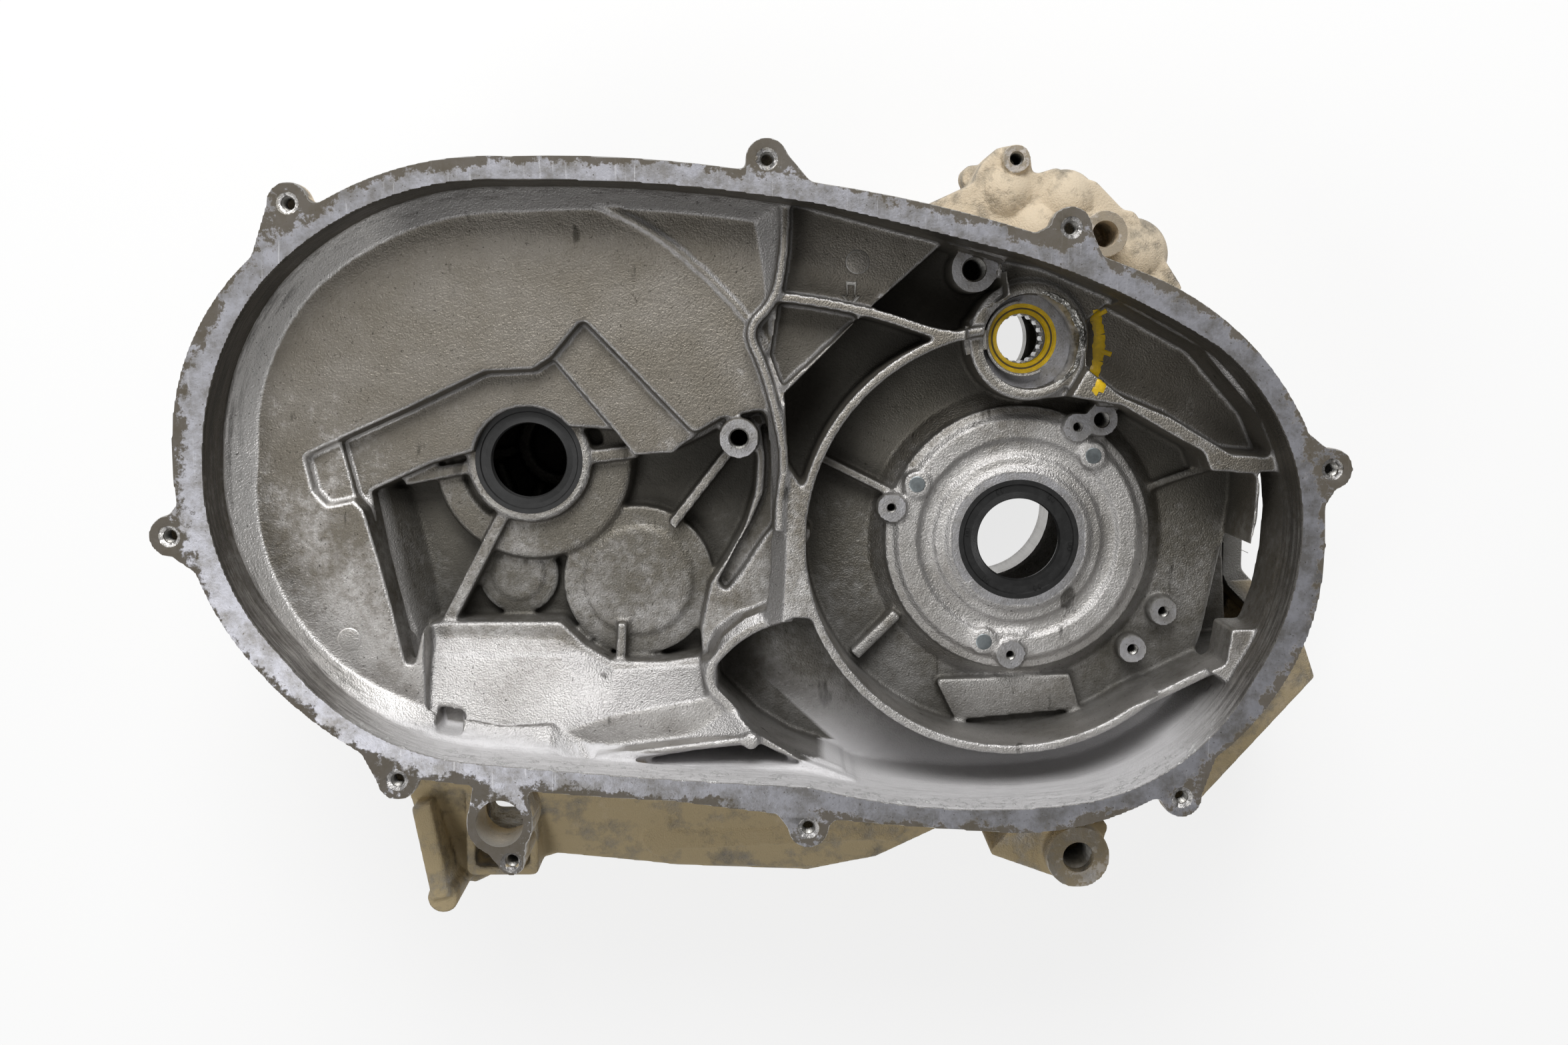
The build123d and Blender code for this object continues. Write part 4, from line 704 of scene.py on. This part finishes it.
yellow = rubber("seal_yellow", (0.52, 0.34, 0.006), 0.4, 0.0, (*STARTER, 15.0))
points, faces = [], []
for i in range(len(PAINT_LINE) - 1):
    stroke(points, faces, PAINT_LINE[i], PAINT_LINE[i + 1], PAINT_WIDTHS[i], PAINT_WIDTHS[i + 1])
for start, end, width in PAINT_DROPS:
    stroke(points, faces, start, end, width, width * 0.9)
piece_from("yellow_paint", points, faces, yellow).data.shade_smooth()


# Shaft seals: nitrile rubber moulded over a pressed steel ring, with a garter spring on the lip.
# The crank seal is black, the driven-shaft seal greyer, and the starter seal is painted yellow.
def finish_node(node, material):
    """Gives a CAD node its finish."""
    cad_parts[node].data.materials.clear()
    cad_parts[node].data.materials.append(material)


black = rubber("seal_rubber", (0.012, 0.012, 0.012), 0.28, 0.005)
finish_node("crank_seal", black)
finish_node("driven_shaft_seal", rubber("seal_rubber_dusty", (0.010, 0.010, 0.010), 0.55, 0.004))
finish_node("starter_shaft_seal", yellow)
seal_steel = plain_metal("seal_steel", (0.45, 0.45, 0.45), 0.3)
spring_steel = plain_metal("spring_steel", (0.5, 0.5, 0.5), 0.3)
for seal in ("crank", "driven", "starter"):
    finish_node(f"{seal}_seal_ring", seal_steel)
    finish_node(f"{seal}_seal_spring", spring_steel)
# dark patches in pairs round the crank seal's face, painted shade for moulding nicks
points, faces = [], []
for pair in range(6):
    for aside in (-2.6, 2.6):
        angle = radians(-8 + 60 * pair + aside)
        out = Vector((cos(angle), sin(angle), 0))
        round_it = Vector((-sin(angle), cos(angle), 0))
        first = len(points)
        for lift in (-0.5, 0.06):
            for a, b in ((-0.9, -0.5), (0.9, -0.5), (0.9, 0.5), (-0.9, 0.5)):
                level = Vector((0, 0, FLANGE / MM - 56 + lift))
                points.append(out * (26.9 + a) + round_it * b + level)
        faces += [(first, first + 3, first + 2, first + 1), (first + 4, first + 5, first + 6, first + 7)]
        faces += [(first + i, first + (i + 1) % 4, first + 4 + (i + 1) % 4, first + 4 + i) for i in range(4)]
nick_shade = rubber("nick_shade", (0.002, 0.002, 0.002), 0.8, 0.0)
piece_from("crank_seal_nick_shade", points, faces, nick_shade)

# Needle bearing of the starter shaft: drawn steel cup pressed into the casting, with a pressed cage
# that carries eighteen ground rollers.
finish_node("needle_bearing_cup", plain_metal("bearing_steel", (0.6, 0.6, 0.6), 0.2))
finish_node("needle_bearing_cage", plain_metal("bearing_cage", (0.30, 0.29, 0.28), 0.35))
finish_node("needle_rollers", plain_metal("roller_steel", (0.65, 0.65, 0.65), 0.12))

# Joint hardware: two hollow dowels line the castings up, and twelve socket screws, put in from the
# magneto side, hold them together. The screws are zinc plated and dusty.
finish_node("locating_dowels", plain_metal("dowel_steel", (0.55, 0.55, 0.55), 0.25))
finish_node("case_screws", plain_metal("screw_steel", (0.5, 0.49, 0.46), 0.35))

# Studio: a pale floor under a white room, a broad window light on the cylinder side, a weaker one at
# the lower left, and a camera that looks down on the belt housing as the photograph does.
LENS_PX = 2350.0
IMAGE_W = 2352.0
IMAGE_H = 1568.0
SHAFT_DIRECTION_PX = (1153.0, 506.0)
CAMERA_FOOT = (-128.785 * MM, 103.609 * MM)
CAMERA_HEIGHT = 744.0 * MM
SENSOR = 36.0

across = (SHAFT_DIRECTION_PX[0] - IMAGE_W / 2) / LENS_PX
down = (SHAFT_DIRECTION_PX[1] - IMAGE_H / 2) / LENS_PX
away = Vector((across, down, 1))
away.normalize()
row_x = Vector((1, 0, 0)) - away * away.x
row_x.normalize()
row_z = -away
row_y = row_z.cross(row_x)
camera_data = bpy.data.cameras.new("camera")
camera_data.sensor_width = SENSOR
camera_data.lens = LENS_PX / IMAGE_W * SENSOR
camera_data.clip_start = 0.01
camera_data.clip_end = 20
camera = bpy.data.objects.new("camera", camera_data)
bpy.context.scene.collection.objects.link(camera)
right = Vector((row_x.x, row_y.x, row_z.x))
up = -Vector((row_x.y, row_y.y, row_z.y))
back = -Vector((row_x.z, row_y.z, row_z.z))
turn = Matrix((right, up, back)).transposed().to_4x4()
camera.matrix_world = Matrix.Translation((*CAMERA_FOOT, FLANGE + CAMERA_HEIGHT)) @ turn
bpy.context.scene.camera = camera

floor_mesh = bmesh.new()
bmesh.ops.create_grid(floor_mesh, x_segments=8, y_segments=8, size=3.0)
bmesh.ops.translate(floor_mesh, verts=floor_mesh.verts, vec=(0, 0, cad_low.z))
floor_data = bpy.data.meshes.new("floor")
floor_mesh.to_mesh(floor_data)
floor_mesh.free()
floor = bpy.data.objects.new("floor", floor_data)
bpy.context.scene.collection.objects.link(floor)
paper = bpy.data.materials.new("floor_paper")
paper.use_nodes = True
add = node_tools(paper)
ray = add("ShaderNodeLightPath")
matt = add("ShaderNodeBsdfPrincipled", {"Base Color": (0.88, 0.88, 0.875, 1), "Roughness": 0.85})
glow = add("ShaderNodeEmission", {"Color": (1, 1, 1, 1), "Strength": 1.0})
seen = maths(add, "MAXIMUM", ray.outputs["Is Camera Ray"], ray.outputs["Is Transmission Ray"])
seen = maths(add, "MAXIMUM", seen, ray.outputs["Is Glossy Ray"])
paper_mix = add("ShaderNodeMixShader", {0: maths(add, "MULTIPLY", seen, 0.78), 1: matt.outputs[0],
                                        2: glow.outputs[0]})
add("ShaderNodeOutputMaterial", {"Surface": paper_mix.outputs[0]})
floor_data.materials.append(paper)

world = bpy.data.worlds.new("studio")
bpy.context.scene.world = world
world.use_nodes = True
add = node_tools(world)
ray = add("ShaderNodeLightPath")
seen = add("ShaderNodeBackground", {"Color": (1, 1, 1, 1), "Strength": 1.0})
lit = add("ShaderNodeBackground", {"Color": (1, 1, 1, 1), "Strength": 0.26})
mixed = add("ShaderNodeMixShader", {0: ray.outputs["Is Camera Ray"], 1: lit.outputs[0], 2: seen.outputs[0]})
add("ShaderNodeOutputWorld", {"Surface": mixed.outputs[0]})


def soft_light(name, spot, aim, size, power):
    """A square soft light that points at the case."""
    data = bpy.data.lights.new(name, "AREA")
    data.shape = "SQUARE"
    data.size = size
    data.energy = power
    lamp = bpy.data.objects.new(name, data)
    lamp.location = spot
    lamp.rotation_euler = (Vector(aim) - Vector(spot)).to_track_quat("-Z", "Y").to_euler()
    bpy.context.scene.collection.objects.link(lamp)


soft_light("window_light", (-0.25, 1.35, 1.35), (-0.13, 0, 0.05), 1.0, 34)
soft_light("left_light", (-1.1, -0.75, 1.9), (-0.13, 0, 0.05), 0.8, 12)

bpy.context.scene.view_settings.view_transform = "Standard"
